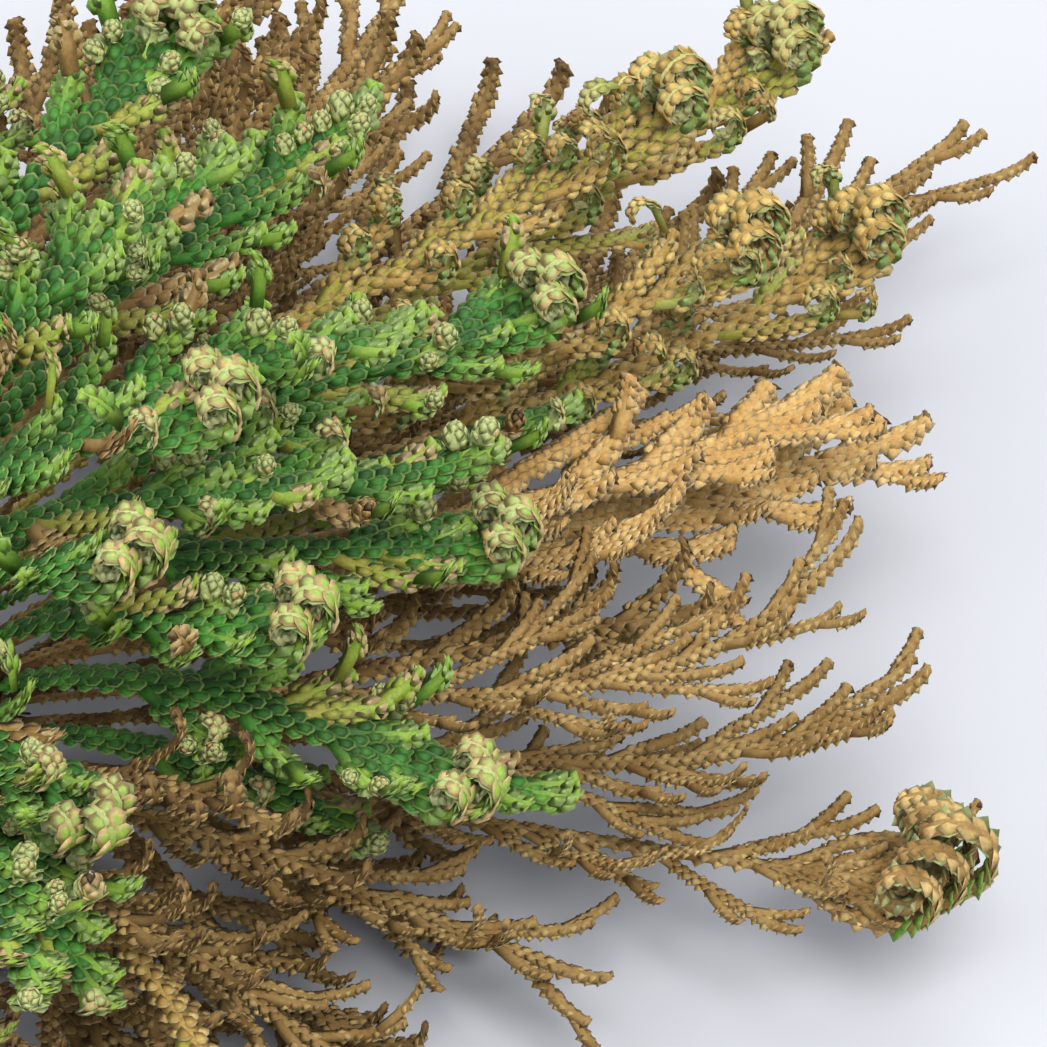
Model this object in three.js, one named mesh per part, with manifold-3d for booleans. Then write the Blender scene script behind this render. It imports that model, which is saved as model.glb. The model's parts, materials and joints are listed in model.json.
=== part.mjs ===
// Rose of Jericho (Selaginella lepidophylla), half open: a rosette of flat scaly fronds round a short
// crown, standing on the trimmed underside of its root tuft. Green fronds rise in the middle, dry tan ones
// spread below, and the branches end in small inward curls. Millimetres, +Z up, origin at the middle of the
// tuft's flat underside.
import * as THREE from "three";
import { mergeVertices } from "three/addons/utils/BufferGeometryUtils.js";
import Module from "manifold-3d";

const wasm = await Module();
wasm.setup();

// ---- driving dimensions -------------------------------------------------------------------------------
const CROWN = { radius: 13, rise: 15, middle: 13, play: 0.7, sides: 14, rings: 5 };
const TUFT = { radius: 15, neck: 9, top: 5.2, lip: 1.4, sides: 14, roots: 14, rootWidth: 1.3, rootReach: 5 };
const STEP = 1; // spacing of the points that a shoot is grown through
const SLICES = 160; // slices that measure a curve's length
const GAP = 0.5; // room left between the shoots of two fronds
const THICK = 1.35; // height that a shoot takes up, scales included
const FLOOR = 3.2; // no shoot hangs lower than this

// A shoot's section is a triangle: two scaly edges and a ridge on the upper side. Each ring of it is wide on
// one side and narrow on the other, and its ridge is high or low, so the shoot is stepped as its scales are.
const SECTION = { ridge: 1.0, low: 0.75, belly: 0.35, wide: 1.2, narrow: 0.75, foot: 0.55, tip: 0.6 };
const SPACING = { foot: 8, mouth: 2.1, branch: 3.2, curl: 4, curlTurn: 72 }; // millimetres, degrees in a curl
const TIGHTEST = 1.2; // mean radius of the tightest curl

// How a frond branches. Shares are of its axis up to the curl, angles are in degrees, sizes in millimetres.
const FORMS = {
  green: {
    first: 0.34, last: 0.9, count: 8, spread: 48, reach: 0.36, taper: 0.5, forward: 30, lift: 4, bend: -6,
    curl: 240, curlLength: 6, width: 1.3, forks: 3, colour: 0x3f7d2c,
  },
  tan: {
    first: 0.4, last: 0.9, count: 8, spread: 40, reach: 0.38, taper: 0.45, forward: 12, lift: 3, bend: 4,
    curl: 80, curlLength: 8, width: 1.0, forks: 4, colour: 0xa98350,
  },
  rolled: {
    first: 0.44, last: 0.88, count: 6, spread: 36, reach: 0.3, taper: 0.4, forward: 20, lift: 3, bend: 0,
    curl: 300, curlLength: 13, width: 1.3, forks: 2, colour: 0xb79a5c,
  },
};
const FORK = { from: 0.4, reach: 0.55, spread: 30, forward: 14, mouth: 1.5 };

// Fronds set one by one, lowest first: azimuth, distance and height of the tip, climb at the crown and at the
// tip, and how far the tip turns sideways.
const PLACED = [
  { form: "tan", azimuth: -34, radius: 44, height: 6, rise: 0, pitch: -4 },
  { form: "tan", azimuth: -18, radius: 54, height: 6, rise: 0, pitch: -4, turn: -6 },
  { form: "tan", azimuth: -8, radius: 78, height: 8, rise: 0, pitch: 4, turn: -4, curl: 290, curlLength: 20 },
  { form: "tan", azimuth: 37, radius: 100, height: 12, rise: 4, pitch: 8, turn: 4 },
  { form: "tan", azimuth: 1, radius: 74, height: 14, rise: 6, pitch: 14, turn: 24, back: -6 },
  { form: "tan", azimuth: 19, radius: 79, height: 15, rise: 10, pitch: 6 },
  { form: "tan", azimuth: 63, radius: 84, height: 14, rise: 10, pitch: 6 },
  { form: "green", azimuth: -14, radius: 38, height: 12, rise: 16, pitch: -14, turn: -10, reach: 0.26 },
  { form: "tan", azimuth: 4, radius: 70, height: 24, rise: 14, pitch: 30, turn: 34, back: -10 },
  { form: "green", azimuth: -11, radius: 51, height: 13, rise: 20, pitch: -8, reach: 0.22 },
  { form: "rolled", azimuth: 30, radius: 86, turn: 5, height: 19, rise: 14, pitch: 12 },
  { form: "tan", azimuth: 20, radius: 73, height: 20, rise: 18, pitch: 8, turn: 14 },
  { form: "rolled", azimuth: 41, radius: 91, height: 23, rise: 18, pitch: 14 },
  { form: "rolled", azimuth: 28, radius: 74, height: 26, rise: 24, pitch: 14 },
  { form: "rolled", azimuth: 38, radius: 76, height: 29, rise: 28, pitch: 14 },
  { form: "green", azimuth: 23, radius: 55, height: 22, rise: 30, pitch: 0 },
  { form: "green", azimuth: -17, radius: 47, height: 20, rise: 34, pitch: -14, turn: -8, count: 7 },
  { form: "green", azimuth: -56, radius: 37, height: 20, rise: 34, pitch: -8 },
  { form: "green", azimuth: 8, radius: 48, height: 24, rise: 36, pitch: -4, turn: 6 },
  { form: "green", azimuth: 27, radius: 57, height: 29, rise: 40, pitch: 6 },
  { form: "green", azimuth: 11, radius: 46, height: 30, rise: 42, pitch: 8, turn: 4 },
  { form: "green", azimuth: -16, radius: 36, height: 33, rise: 48, pitch: 8, turn: 16 },
  { form: "green", azimuth: 4, radius: 35, height: 34, rise: 48, pitch: 0, turn: 10 },
  { form: "green", azimuth: 45, radius: 52, height: 36, rise: 50, pitch: 4, turn: -6 },
  { form: "green", azimuth: -50, radius: 32, height: 28, rise: 50, pitch: -12 },
  { form: "green", azimuth: 19, radius: 41, height: 37, rise: 54, pitch: 0, turn: -10 },
  { form: "green", azimuth: 3, radius: 29, height: 42, rise: 60, pitch: 0, turn: 14 },
  { form: "green", azimuth: -24, radius: 26, height: 39, rise: 62, pitch: 4, turn: 14 },
  { form: "green", azimuth: 43, radius: 37, height: 42, rise: 60, pitch: 8, turn: 6 },
  { form: "green", azimuth: 57, radius: 45, height: 44, rise: 58, pitch: 4 },
  { form: "green", azimuth: 37, radius: 29, height: 47, rise: 68, pitch: 10, turn: 14 },
];

// The rest stand in rings: count, first and last azimuth, then as above. The lowest one is the most open.
const OPEN = { first: 0.3, reach: 0.46 };
const RINGS = [
  { form: "tan", count: 6, from: 82, to: 304, radius: 84, height: 8, rise: 2, pitch: 5, ...OPEN },
  { form: "rolled", count: 6, from: 98, to: 324, radius: 78, height: 20, rise: 16, pitch: 12, reach: 0.38 },
  { form: "green", count: 6, from: 70, to: 294, radius: 63, height: 27, rise: 32, pitch: 2, reach: 0.42 },
  { form: "green", count: 6, from: 88, to: 310, radius: 48, height: 37, rise: 50, pitch: 4, reach: 0.42 },
  { form: "green", count: 3, from: 100, to: 330, radius: 28, height: 46, rise: 68, pitch: 20, reach: 0.46 },
];

// A frond that would cross another one is moved: its tip up, down or aside, its foot up, down or round the
// crown.
const LIFTS = [0, 1.5, -1.5, 3, -3, 4.5, -4.5, 6, -6];
const SEATS = [0, 7, -7, 14, -14, 21];
const SWINGS = [0, 6, -6, 12, -12, 18, -18];
const ASIDES = [0, 2, -2];
// A side branch in the way is lifted or lowered, then closed in, then left out.
const BRANCH_LIFTS = [0, 9, -9, 18, -18, 27];
const BRANCH_SPREADS = [1, 0.7, 1.25];
const BRANCH_LENGTHS = [1, 0.75];
const ROOM_AT_ROOT = 4; // this close to their roots, branches of one frond may be near each other

// ---- small helpers ------------------------------------------------------------------------------------
const rad = THREE.MathUtils.degToRad;
const UP = new THREE.Vector3(0, 0, 1);

// An even scatter from -1 to 1, the same for the same two numbers.
function wobble(a, b) {
  const x = a * 0.6180339887 + b * 0.7548776662 + 0.37;
  return 2 * (x - Math.floor(x)) - 1;
}

const heading = (azimuth, climb) =>
  new THREE.Vector3(
    Math.cos(rad(azimuth)) * Math.cos(rad(climb)),
    Math.sin(rad(azimuth)) * Math.cos(rad(climb)),
    Math.sin(rad(climb)),
  );

const along = (p, direction, distance) => p.clone().addScaledVector(direction, distance);

// The normal kept square to the tangent.
const squared = (n, t) => along(n, t, -n.dot(t)).normalize();

// ---- growing a shoot ----------------------------------------------------------------------------------
// A shoot is a line of points, each with its distance from the start, the way it runs, its upper side and its
// half width.
function shootOf({ points, runs, tangents, normals, widths }) {
  const centre = new THREE.Box3().setFromPoints(points).getCenter(new THREE.Vector3());
  const radius = Math.max(...points.map((p) => p.distanceTo(centre)));
  return { points, runs, tangents, normals, widths, length: runs.at(-1), centre, radius };
}

// Point, tangent, normal and half width at a distance along a shoot.
function at({ points, runs, tangents, normals, widths }, distance) {
  let i = 0;
  while (i < runs.length - 2 && runs[i + 1] < distance) i++;
  const share = (distance - runs[i]) / (runs[i + 1] - runs[i]);
  const mix = (list) => list[i].clone().lerp(list[i + 1], share);
  const t = mix(tangents).normalize();
  const width = widths[i] + (widths[i + 1] - widths[i]) * share;
  return { p: mix(points), t, n: squared(mix(normals), t), width };
}

// Grows from a start by small steps: bend lifts towards the upper side over the whole length, side turns in
// the plane of the frond, and the curl rolls the end inwards, tighter towards the tip.
function grow(start, { length, bend, side, curl, curlLength, width }) {
  const count = Math.max(2, Math.ceil(length / STEP));
  const step = length / count;
  const turn = Math.min(rad(curl), curlLength / TIGHTEST);
  let { p, t, n } = start;
  const shoot = { points: [p], runs: [0], tangents: [t], normals: [n], widths: [width] };
  for (let i = 0; i < count; i++) {
    const into = (i + 0.5) * step - (length - curlLength);
    const roll = into > 0 ? (turn / curlLength) * (0.5 + into / curlLength) * step : 0;
    const angle = rad(bend) / count + roll;
    const lifted = t.clone().multiplyScalar(Math.cos(angle)).addScaledVector(n, Math.sin(angle));
    n = n.clone().multiplyScalar(Math.cos(angle)).addScaledVector(t, -Math.sin(angle));
    t = lifted.applyAxisAngle(n, rad(side) / count).normalize();
    n = squared(n, t);
    p = along(p, t, step);
    shoot.points.push(p);
    shoot.runs.push((i + 1) * step);
    shoot.tangents.push(t);
    shoot.normals.push(n);
    shoot.widths.push(width);
  }
  return { ...shootOf(shoot), turn, curlLength };
}

// Points at equal spacing on the cubic curve a, b, c, d, whose length is measured in short slices.
function spaced(a, b, c, d) {
  const slices = Array.from({ length: SLICES + 1 }, (_, i) => {
    const u = i / SLICES;
    return new THREE.Vector3()
      .addScaledVector(a, (1 - u) ** 3)
      .addScaledVector(b, 3 * u * (1 - u) ** 2)
      .addScaledVector(c, 3 * u * u * (1 - u))
      .addScaledVector(d, u ** 3);
  });
  const runs = [0];
  for (let i = 0; i < SLICES; i++) runs.push(runs[i] + slices[i].distanceTo(slices[i + 1]));
  const straight = runs[SLICES];
  const count = Math.ceil(straight / STEP);
  let k = 0;
  const points = Array.from({ length: count + 1 }, (_, i) => {
    const s = (straight * i) / count;
    while (k < SLICES - 1 && runs[k + 1] < s) k++;
    return slices[k].clone().lerp(slices[k + 1], (s - runs[k]) / (runs[k + 1] - runs[k]));
  });
  return { points, count, straight };
}

// A frond's axis: a cubic curve from the crown to the tip, then the curl. It is slim at its foot.
function axisOf(row, shift) {
  const { azimuth, radius, height, rise, pitch, turn = 0, back = 0, curl, curlLength } = row;
  const foot = azimuth + back + shift.swing;
  const tipAzimuth = azimuth + shift.aside;
  const seat = rad(0.95 * rise - 6 + shift.seat);
  const a = heading(foot, 0).multiplyScalar((CROWN.radius + CROWN.play) * Math.cos(seat));
  a.z = CROWN.middle + (CROWN.rise + CROWN.play) * Math.sin(seat);
  const d = heading(tipAzimuth, 0).multiplyScalar(radius);
  d.z = height + shift.lift;
  const reach = a.distanceTo(d) * 0.36;
  const b = along(a, heading(foot, rise), reach);
  const c = along(d, heading(tipAzimuth + turn, pitch), -reach);
  const { points, count, straight } = spaced(a, b, c, d);
  const tangents = points.map((_, i) =>
    points[Math.min(i + 1, count)].clone().sub(points[Math.max(i - 1, 0)]).normalize(),
  );
  let n = heading(foot, rise + 90);
  const normals = tangents.map((t) => (n = squared(n, t)));
  const runs = points.map((_, i) => (straight * i) / count);
  const width = row.width * 1.15;
  const slimming = (run) => SECTION.foot + (1 - SECTION.foot) * (run / straight / row.first);
  const widths = runs.map((run) => width * Math.min(1, slimming(run)));
  const end = { p: points[count], t: tangents[count], n: normals[count] };
  const tip = grow(end, { length: curlLength, bend: 0, side: 0, curl, curlLength, width });
  points.push(...tip.points.slice(1));
  runs.push(...tip.runs.slice(1).map((run) => straight + run));
  tangents.push(...tip.tangents.slice(1));
  normals.push(...tip.normals.slice(1));
  widths.push(...tip.widths.slice(1));
  return { ...shootOf({ points, runs, tangents, normals, widths }), straight, turn: tip.turn, curlLength };
}

// ---- finding room -------------------------------------------------------------------------------------
// Two points of shoots are too close if one lies within the other's flat section and its gap.
function tooClose(a, i, b, j) {
  const d = b.points[j].clone().sub(a.points[i]);
  const far = (a.widths[i] + b.widths[j]) * SECTION.wide + GAP;
  const square = d.lengthSq();
  if (square > far * far + (THICK + GAP) ** 2) return false;
  return [a.normals[i], b.normals[j]].some((n) => {
    const h = d.dot(n);
    return Math.abs(h) < THICK + GAP && square - h * h < far * far;
  });
}

function crosses(a, b) {
  if (a.centre.distanceTo(b.centre) > a.radius + b.radius + 5) return false;
  return a.points.some((_, i) => b.points.some((_, j) => tooClose(a, i, b, j)));
}

const isClear = (shoot, others) =>
  shoot.points.every((p) => p.z > FLOOR) && !others.some((other) => crosses(shoot, other));

// A shoot without its first few millimetres.
function beyondRoot(shoot) {
  const from = Math.min(shoot.runs.findIndex((run) => run >= ROOM_AT_ROOT), shoot.points.length - 2);
  const cut = (list) => list.slice(Math.max(from, 0));
  return { ...shoot, points: cut(shoot.points), normals: cut(shoot.normals), widths: cut(shoot.widths) };
}

// The ways a frond may be moved, the smallest first.
const SHIFTS = LIFTS.flatMap((lift) =>
  SEATS.flatMap((seat) => SWINGS.flatMap((swing) => ASIDES.map((aside) => ({ lift, seat, swing, aside })))),
)
  .map((shift, order) => {
    const { lift, seat, swing, aside } = shift;
    const cost = Math.abs(lift) / 1.5 + Math.abs(seat) / 7 + Math.abs(swing) / 6 + Math.abs(aside);
    return { ...shift, order, cost };
  })
  .sort((one, other) => one.cost - other.cost || one.order - other.order);

// ---- the fronds' shoots -------------------------------------------------------------------------------
const ringRows = RINGS.flatMap(({ count, from, to, ...ring }) =>
  Array.from({ length: count }, (_, i) => ({
    ...ring,
    azimuth: from + ((to - from) * (i + 0.5)) / count + 3 * wobble(i, ring.radius),
    radius: ring.radius * (1 + 0.07 * wobble(i, ring.height)),
    height: ring.height + 1.5 * wobble(i, ring.rise),
  })),
);

const fronds = [];
for (const given of [...PLACED, ...ringRows]) {
  const row = { ...FORMS[given.form], ...given };
  const axes = fronds.map((frond) => frond.axis);
  const shift = SHIFTS.find((candidate) => isClear(axisOf(row, candidate), axes));
  fronds.push({ row, axis: axisOf(row, shift), branches: [] });
}

// Room for a branch's inner edge beside its parent's, and how far along the branch it has left the parent.
function roomBeside({ parent }, p) {
  const room = parent.points.map((q, i) => p.distanceTo(q) - parent.widths[i] * SECTION.wide);
  return Math.min(...room) - 0.2;
}

function leaving(branch) {
  const i = branch.points.findIndex((p) => roomBeside(branch, p) > branch.widths[0] * 0.5);
  return i < 0 ? branch.length : branch.runs[i];
}

// A side branch from a point of its parent, or nothing if there is no room for it.
function branchFrom(parent, from, turn, shape, others, siblings) {
  const { p, t, n } = at(parent, from);
  const near = siblings.map(beyondRoot);
  for (const share of BRANCH_LENGTHS)
    for (const spread of BRANCH_SPREADS)
      for (const more of BRANCH_LIFTS) {
        const start = { p, t: t.clone().applyAxisAngle(n, rad(turn * spread)), n };
        const length = shape.length * share;
        const curlLength = Math.min(shape.curlLength, length * 0.5);
        const branch = grow(start, { ...shape, length, curlLength, bend: shape.bend + 2 * more });
        const placed = { ...branch, parent, from, side: Math.sign(turn), forks: [] };
        const leaves = leaving(placed) < Math.min(length * 0.6, 7) - 1e-6;
        if (leaves && isClear(branch, others) && isClear(beyondRoot(branch), near)) return placed;
      }
  return null;
}

fronds.forEach((frond, k) => {
  const { row, axis, branches } = frond;
  const others = fronds.filter((other) => other !== frond);
  const around = others.flatMap((other) => [other.axis, ...other.branches.flatMap((b) => [b, ...b.forks])]);
  for (let i = 0; i < row.count; i++) {
    const side = (i + k) % 2 ? 1 : -1;
    const q = i / (row.count - 1);
    const shape = {
      length: axis.straight * row.reach * (1 - row.taper * q) * (1 + 0.12 * wobble(k, i + 7)),
      bend: row.bend + 2 * row.lift + 10 * wobble(k + 3, i),
      side: -side * row.forward,
      curl: row.curl * 0.9,
      curlLength: row.curlLength,
      width: row.width,
    };
    const turn = side * row.spread * (1 - 0.25 * q) * (1 + 0.15 * wobble(k, i));
    const from = axis.straight * (row.first + (row.last - row.first) * q);
    const own = branches.flatMap((b) => [b, ...b.forks]);
    const branch = branchFrom(axis, from, turn, shape, around, own);
    if (!branch) continue;
    branches.push(branch);
    if (i >= row.forks) continue;
    const away = wobble(k, i + 11) > -0.2 ? -side : side;
    const forkShape = {
      ...shape,
      length: branch.length * FORK.reach,
      bend: 0,
      side: -away * FORK.forward,
      width: row.width * 0.9,
    };
    const forkFrom = Math.max(branch.length * FORK.from, leaving(branch) + FORK.mouth);
    if (forkFrom + FORK.mouth > branch.length - branch.curlLength) continue;
    const fork = branchFrom(branch, forkFrom, away * FORK.spread, forkShape, around, [...own, axis]);
    if (fork) branch.forks.push(fork);
  }
});

// ---- the fronds' solids -------------------------------------------------------------------------------
// A frond is one skin. Rings of three points, left edge, ridge and right edge, are joined along each shoot. A
// branch grows out of its parent's skin through a missing triangle between two rings, so nothing overlaps.
function addRing(skin, shoot, { distance, wide }, number) {
  const { p, t, n, width } = at(shoot, distance);
  const left = new THREE.Vector3().crossVectors(n, t);
  const [leftShare, rightShare] = wide > 0 ? [SECTION.wide, SECTION.narrow] : [SECTION.narrow, SECTION.wide];
  // A curl slims to its tip, and its ridge stays inside the bend.
  const into = Math.max(0, 1 - (shoot.length - distance) / shoot.curlLength);
  const scale = 1 - (1 - SECTION.tip) * into;
  const bendRadius = into > 0 ? shoot.curlLength / shoot.turn / (0.5 + into) : Infinity;
  const ridge = Math.min((number % 2 ? SECTION.ridge : SECTION.low) * scale, 0.6 * bendRadius);
  const base = along(p, n, -SECTION.belly * scale);
  // The edge beside the parent stays clear of the parent's own edge.
  const room = shoot.parent ? Math.max(0.3, roomBeside(shoot, p)) : Infinity;
  const leftReach = Math.min(width * scale * leftShare, shoot.side < 0 ? room : Infinity);
  const rightReach = Math.min(width * scale * rightShare, shoot.side > 0 ? room : Infinity);
  const first = skin.vertices.length;
  skin.vertices.push(along(base, left, leftReach), along(p, n, ridge), along(base, left, -rightReach));
  return { distance, left: first, ridge: first + 1, right: first + 2 };
}

// Joins two corners of one ring to the same two of the next, across the shorter diagonal.
function joinCorners(skin, [p, q], [s, r]) {
  const apart = (u, v) => skin.vertices[u].distanceTo(skin.vertices[v]);
  if (apart(p, r) < apart(q, s)) skin.faces.push([p, q, r], [p, r, s]);
  else skin.faces.push([p, q, s], [q, r, s]);
}

// Joins two rings, but for the sides that a branch grows from.
function joinRings(skin, a, b, mouths) {
  if (!mouths.includes(1)) joinCorners(skin, [a.left, a.ridge], [b.left, b.ridge]);
  if (!mouths.includes(-1)) joinCorners(skin, [a.ridge, a.right], [b.ridge, b.right]);
  joinCorners(skin, [a.right, a.left], [b.right, b.left]);
}

// Joins the open side between rings a and b of the parent to a branch's first ring, whose ridge is the hub.
function joinMouth(skin, a, b, side, { left, ridge, right }) {
  const [near, far] = side > 0 ? [left, right] : [right, left];
  const [edgeA, edgeB] = side > 0 ? [a.left, b.left] : [a.right, b.right];
  const faces = [[edgeA, a.ridge, ridge], [a.ridge, b.ridge, ridge], [b.ridge, edgeB, ridge]];
  faces.push([edgeA, ridge, near], [edgeB, far, ridge]);
  skin.faces.push(...faces.map((face) => (side > 0 ? face : face.reverse())));
  if (side > 0) joinCorners(skin, [edgeB, edgeA], [far, near]);
  else joinCorners(skin, [edgeA, edgeB], [near, far]);
}

// Even distances between two, both included.
function evenly(from, to, spacing) {
  const count = Math.max(1, Math.round((to - from) / spacing));
  return Array.from({ length: count + 1 }, (_, i) => from + ((to - from) * i) / count);
}

// Skins a shoot through its first rings, its curl and its point, then its branches. Returns its first ring.
// The ring behind a branch is narrow on the branch's side, and the one before it is wide.
function addShoot(skin, shoot, early, branches, half) {
  const bend = shoot.length - shoot.curlLength;
  const degrees = THREE.MathUtils.radToDeg(shoot.turn);
  const turns = Math.max(degrees / SPACING.curlTurn, shoot.curlLength / SPACING.curl);
  const rolled = evenly(bend, shoot.length, shoot.curlLength / Math.max(2, Math.round(turns))).slice(0, -1);
  const places = early.map((distance) => ({ distance }));
  for (const { from, side } of branches) {
    if (from - half > places.at(-1).distance + 0.1) places.push({ distance: from - half, wide: -side });
    places.push({ distance: from + half, wide: side });
  }
  for (const distance of [...evenly(places.at(-1).distance, bend, SPACING.branch), ...rolled])
    if (distance > places.at(-1).distance + 1) places.push({ distance });
  places.forEach((place, i) => (place.wide ??= -(places[i - 1]?.wide ?? 1)));
  const rings = places.map((place, i) => addRing(skin, shoot, place, i));
  const tip = skin.vertices.push(shoot.points.at(-1)) - 1;
  const end = rings.at(-1);
  skin.faces.push([end.left, end.ridge, tip], [end.ridge, end.right, tip], [end.right, end.left, tip]);
  const open = rings.map(() => []);
  for (const branch of branches) {
    const i = rings.findIndex((ring) => ring.distance > branch.from) - 1;
    open[i].push(branch.side);
    const ring = addShoot(skin, branch, [leaving(branch)], branch.forks, FORK.mouth);
    joinMouth(skin, rings[i], rings[i + 1], branch.side, ring);
  }
  for (let i = 0; i + 1 < rings.length; i++) joinRings(skin, rings[i], rings[i + 1], open[i]);
  return rings[0];
}

function frondSkin({ row, axis, branches }) {
  const skin = { vertices: [], faces: [] };
  const apart = (axis.straight * (row.last - row.first)) / (row.count - 1);
  const half = apart > 3 * SPACING.mouth ? SPACING.mouth : apart / 2;
  const bare = evenly(0, axis.straight * row.first - half, SPACING.foot).slice(0, -1);
  const foot = addShoot(skin, axis, bare, branches, half);
  skin.faces.push([foot.ridge, foot.left, foot.right]);
  return skin;
}

const geometryOf = ({ vertices, faces }) =>
  new THREE.BufferGeometry().setFromPoints(vertices).setIndex(faces.flat());

const meshGeometry = ({ vertProperties, triVerts }) =>
  new THREE.BufferGeometry()
    .setAttribute("position", new THREE.BufferAttribute(vertProperties, 3))
    .setIndex(new THREE.BufferAttribute(triVerts, 1));

// ---- crown and root tuft ------------------------------------------------------------------------------
// A closed solid of revolution with shared vertices.
function turned(profile, sides) {
  const lathe = new THREE.LatheGeometry(profile.map(([r, z]) => new THREE.Vector2(r, z)), sides);
  lathe.rotateX(Math.PI / 2);
  lathe.deleteAttribute("normal");
  lathe.deleteAttribute("uv");
  return mergeVertices(lathe, 1e-4);
}

const solidOf = (geometry) =>
  new wasm.Manifold(
    new wasm.Mesh({
      numProp: 3,
      vertProperties: new Float32Array(geometry.attributes.position.array),
      triVerts: new Uint32Array(geometry.index.array),
    }),
  );

// The crown is a low dome that the fronds' feet stand round.
function crownGeometry() {
  const low = Math.asin((TUFT.top + 0.3 - CROWN.middle) / CROWN.rise);
  const profile = [[0, TUFT.top + 0.3]];
  for (let i = 0; i < CROWN.rings; i++) {
    const angle = low + ((Math.PI / 2 - low) * i) / CROWN.rings;
    profile.push([CROWN.radius * Math.cos(angle), CROWN.middle + CROWN.rise * Math.sin(angle)]);
  }
  return meshGeometry(solidOf(turned([...profile, [0, CROWN.middle + CROWN.rise]], CROWN.sides)).getMesh());
}

// The root tuft: a flared stump with cut roots standing out round it, trimmed flat underneath.
function tuftGeometry() {
  const { radius, neck, top, lip, sides } = TUFT;
  const stump = turned([[0, 0], [radius * 0.75, 0], [radius * 0.75, lip], [neck, top], [0, top]], sides);
  let tuft = solidOf(stump);
  for (let i = 0; i < TUFT.roots; i++) {
    const azimuth = (360 * (i + 0.25 * wobble(i, 1))) / TUFT.roots;
    const start = { p: heading(azimuth, 0).multiplyScalar(neck * 0.5), t: heading(azimuth, -3), n: UP };
    start.p.z = lip * 1.1;
    const length = radius - neck * 0.5 + TUFT.rootReach * wobble(i, 2);
    const root = grow(start, { length, bend: 0, side: 0, curl: 0, curlLength: 1, width: TUFT.rootWidth });
    const one = { vertices: [], faces: [] };
    const foot = addShoot(one, root, [0], [], 0);
    one.faces.push([foot.ridge, foot.left, foot.right]);
    tuft = tuft.add(solidOf(geometryOf(one)));
  }
  return meshGeometry(tuft.getMesh());
}

// ---- the scene ----------------------------------------------------------------------------------------
const plant = new THREE.Group();
plant.name = "rose_of_jericho";

function addNode(name, geometry, colour) {
  const node = new THREE.Mesh(
    geometry,
    new THREE.MeshStandardMaterial({ color: colour, roughness: 0.8, metalness: 0 }),
  );
  node.name = name;
  plant.add(node);
}

addNode("root_tuft", tuftGeometry(), 0x6b4f33);
addNode("crown", crownGeometry(), 0x7a5f3c);
const numbers = {};
for (const frond of fronds) {
  const { form, colour } = frond.row;
  numbers[form] = (numbers[form] ?? 0) + 1;
  const name = `${form}_frond_${String(numbers[form]).padStart(2, "0")}`;
  addNode(name, geometryOf(frondSkin(frond)), colour);
}

export default plant;
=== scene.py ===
"""The looks of a half-open rose of Jericho: its fronds in scale leaves, its crown and its root tuft.

Every frond is grown again by the rule that shapes its solid: a shoot is a line of points with an upper side,
set round the crown, moved until it clears the ones set before it, and branched the same way. Its scale leaves
are then laid along it. Growth is worked out in millimetres and turned to metres where a mesh is made.
"""

import itertools
import json
import logging
import math
from dataclasses import dataclass, field, replace
from enum import Enum

import bpy
import numpy as np
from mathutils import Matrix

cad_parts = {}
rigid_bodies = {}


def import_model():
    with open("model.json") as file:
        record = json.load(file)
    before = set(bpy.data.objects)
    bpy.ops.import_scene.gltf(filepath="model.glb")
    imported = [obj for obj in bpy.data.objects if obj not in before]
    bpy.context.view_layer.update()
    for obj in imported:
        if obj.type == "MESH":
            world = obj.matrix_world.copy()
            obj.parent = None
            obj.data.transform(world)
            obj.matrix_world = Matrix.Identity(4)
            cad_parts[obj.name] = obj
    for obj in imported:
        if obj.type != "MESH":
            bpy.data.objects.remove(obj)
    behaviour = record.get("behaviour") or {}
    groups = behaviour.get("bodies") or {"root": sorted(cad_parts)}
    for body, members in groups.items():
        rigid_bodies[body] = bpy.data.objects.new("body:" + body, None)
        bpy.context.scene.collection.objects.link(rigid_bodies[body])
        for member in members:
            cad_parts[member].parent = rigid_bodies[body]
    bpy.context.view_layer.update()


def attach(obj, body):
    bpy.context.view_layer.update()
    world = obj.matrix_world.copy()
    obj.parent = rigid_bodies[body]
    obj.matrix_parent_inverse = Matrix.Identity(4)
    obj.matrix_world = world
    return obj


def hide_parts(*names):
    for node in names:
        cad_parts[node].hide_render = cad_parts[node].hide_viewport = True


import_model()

MM = 0.001
LOG = logging.getLogger("rose_of_jericho")

Vector = np.ndarray  # one point or direction
Array = np.ndarray  # any other array


# ---- how a shoot grows ----------------------------------------------------------------------------------
STEP = 1.0  # spacing of the points that a shoot is grown through
SLICES = 160  # slices that measure a curve's length
GAP = 0.5  # room left between the shoots of two fronds
THICK = 1.35  # height that a shoot takes up, scales included
FLOOR = 3.2  # no shoot hangs lower than this
WIDE = 1.2  # how far a shoot's edge stands out, in half widths
FOOT = 0.55  # share of its width that a frond has at the crown
TIGHTEST = 1.2  # mean radius of the tightest curl
ROOM_AT_ROOT = 4.0  # this close to their roots, branches of one frond may be near each other


def wobble(a: float, b: float) -> float:
    """Return an even scatter from -1 to 1, the same for the same two numbers."""
    x = a * 0.6180339887 + b * 0.7548776662 + 0.37
    return 2 * (x - math.floor(x)) - 1


def heading(azimuth: float, climb: float) -> Vector:
    """Return the unit vector at an azimuth and a climb, both in degrees."""
    a, c = math.radians(azimuth), math.radians(climb)
    return np.array([math.cos(a) * math.cos(c), math.sin(a) * math.cos(c), math.sin(c)])


def unit(v: Array) -> Array:
    """Return vectors scaled to length one, along the last axis."""
    return v / np.sqrt((v * v).sum(-1, keepdims=True))


def smooth(x: Array) -> Array:
    """Return a smooth step from 0 to 1 as x runs from 0 to 1."""
    x = np.clip(x, 0, 1)
    return x * x * (3 - 2 * x)


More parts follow.
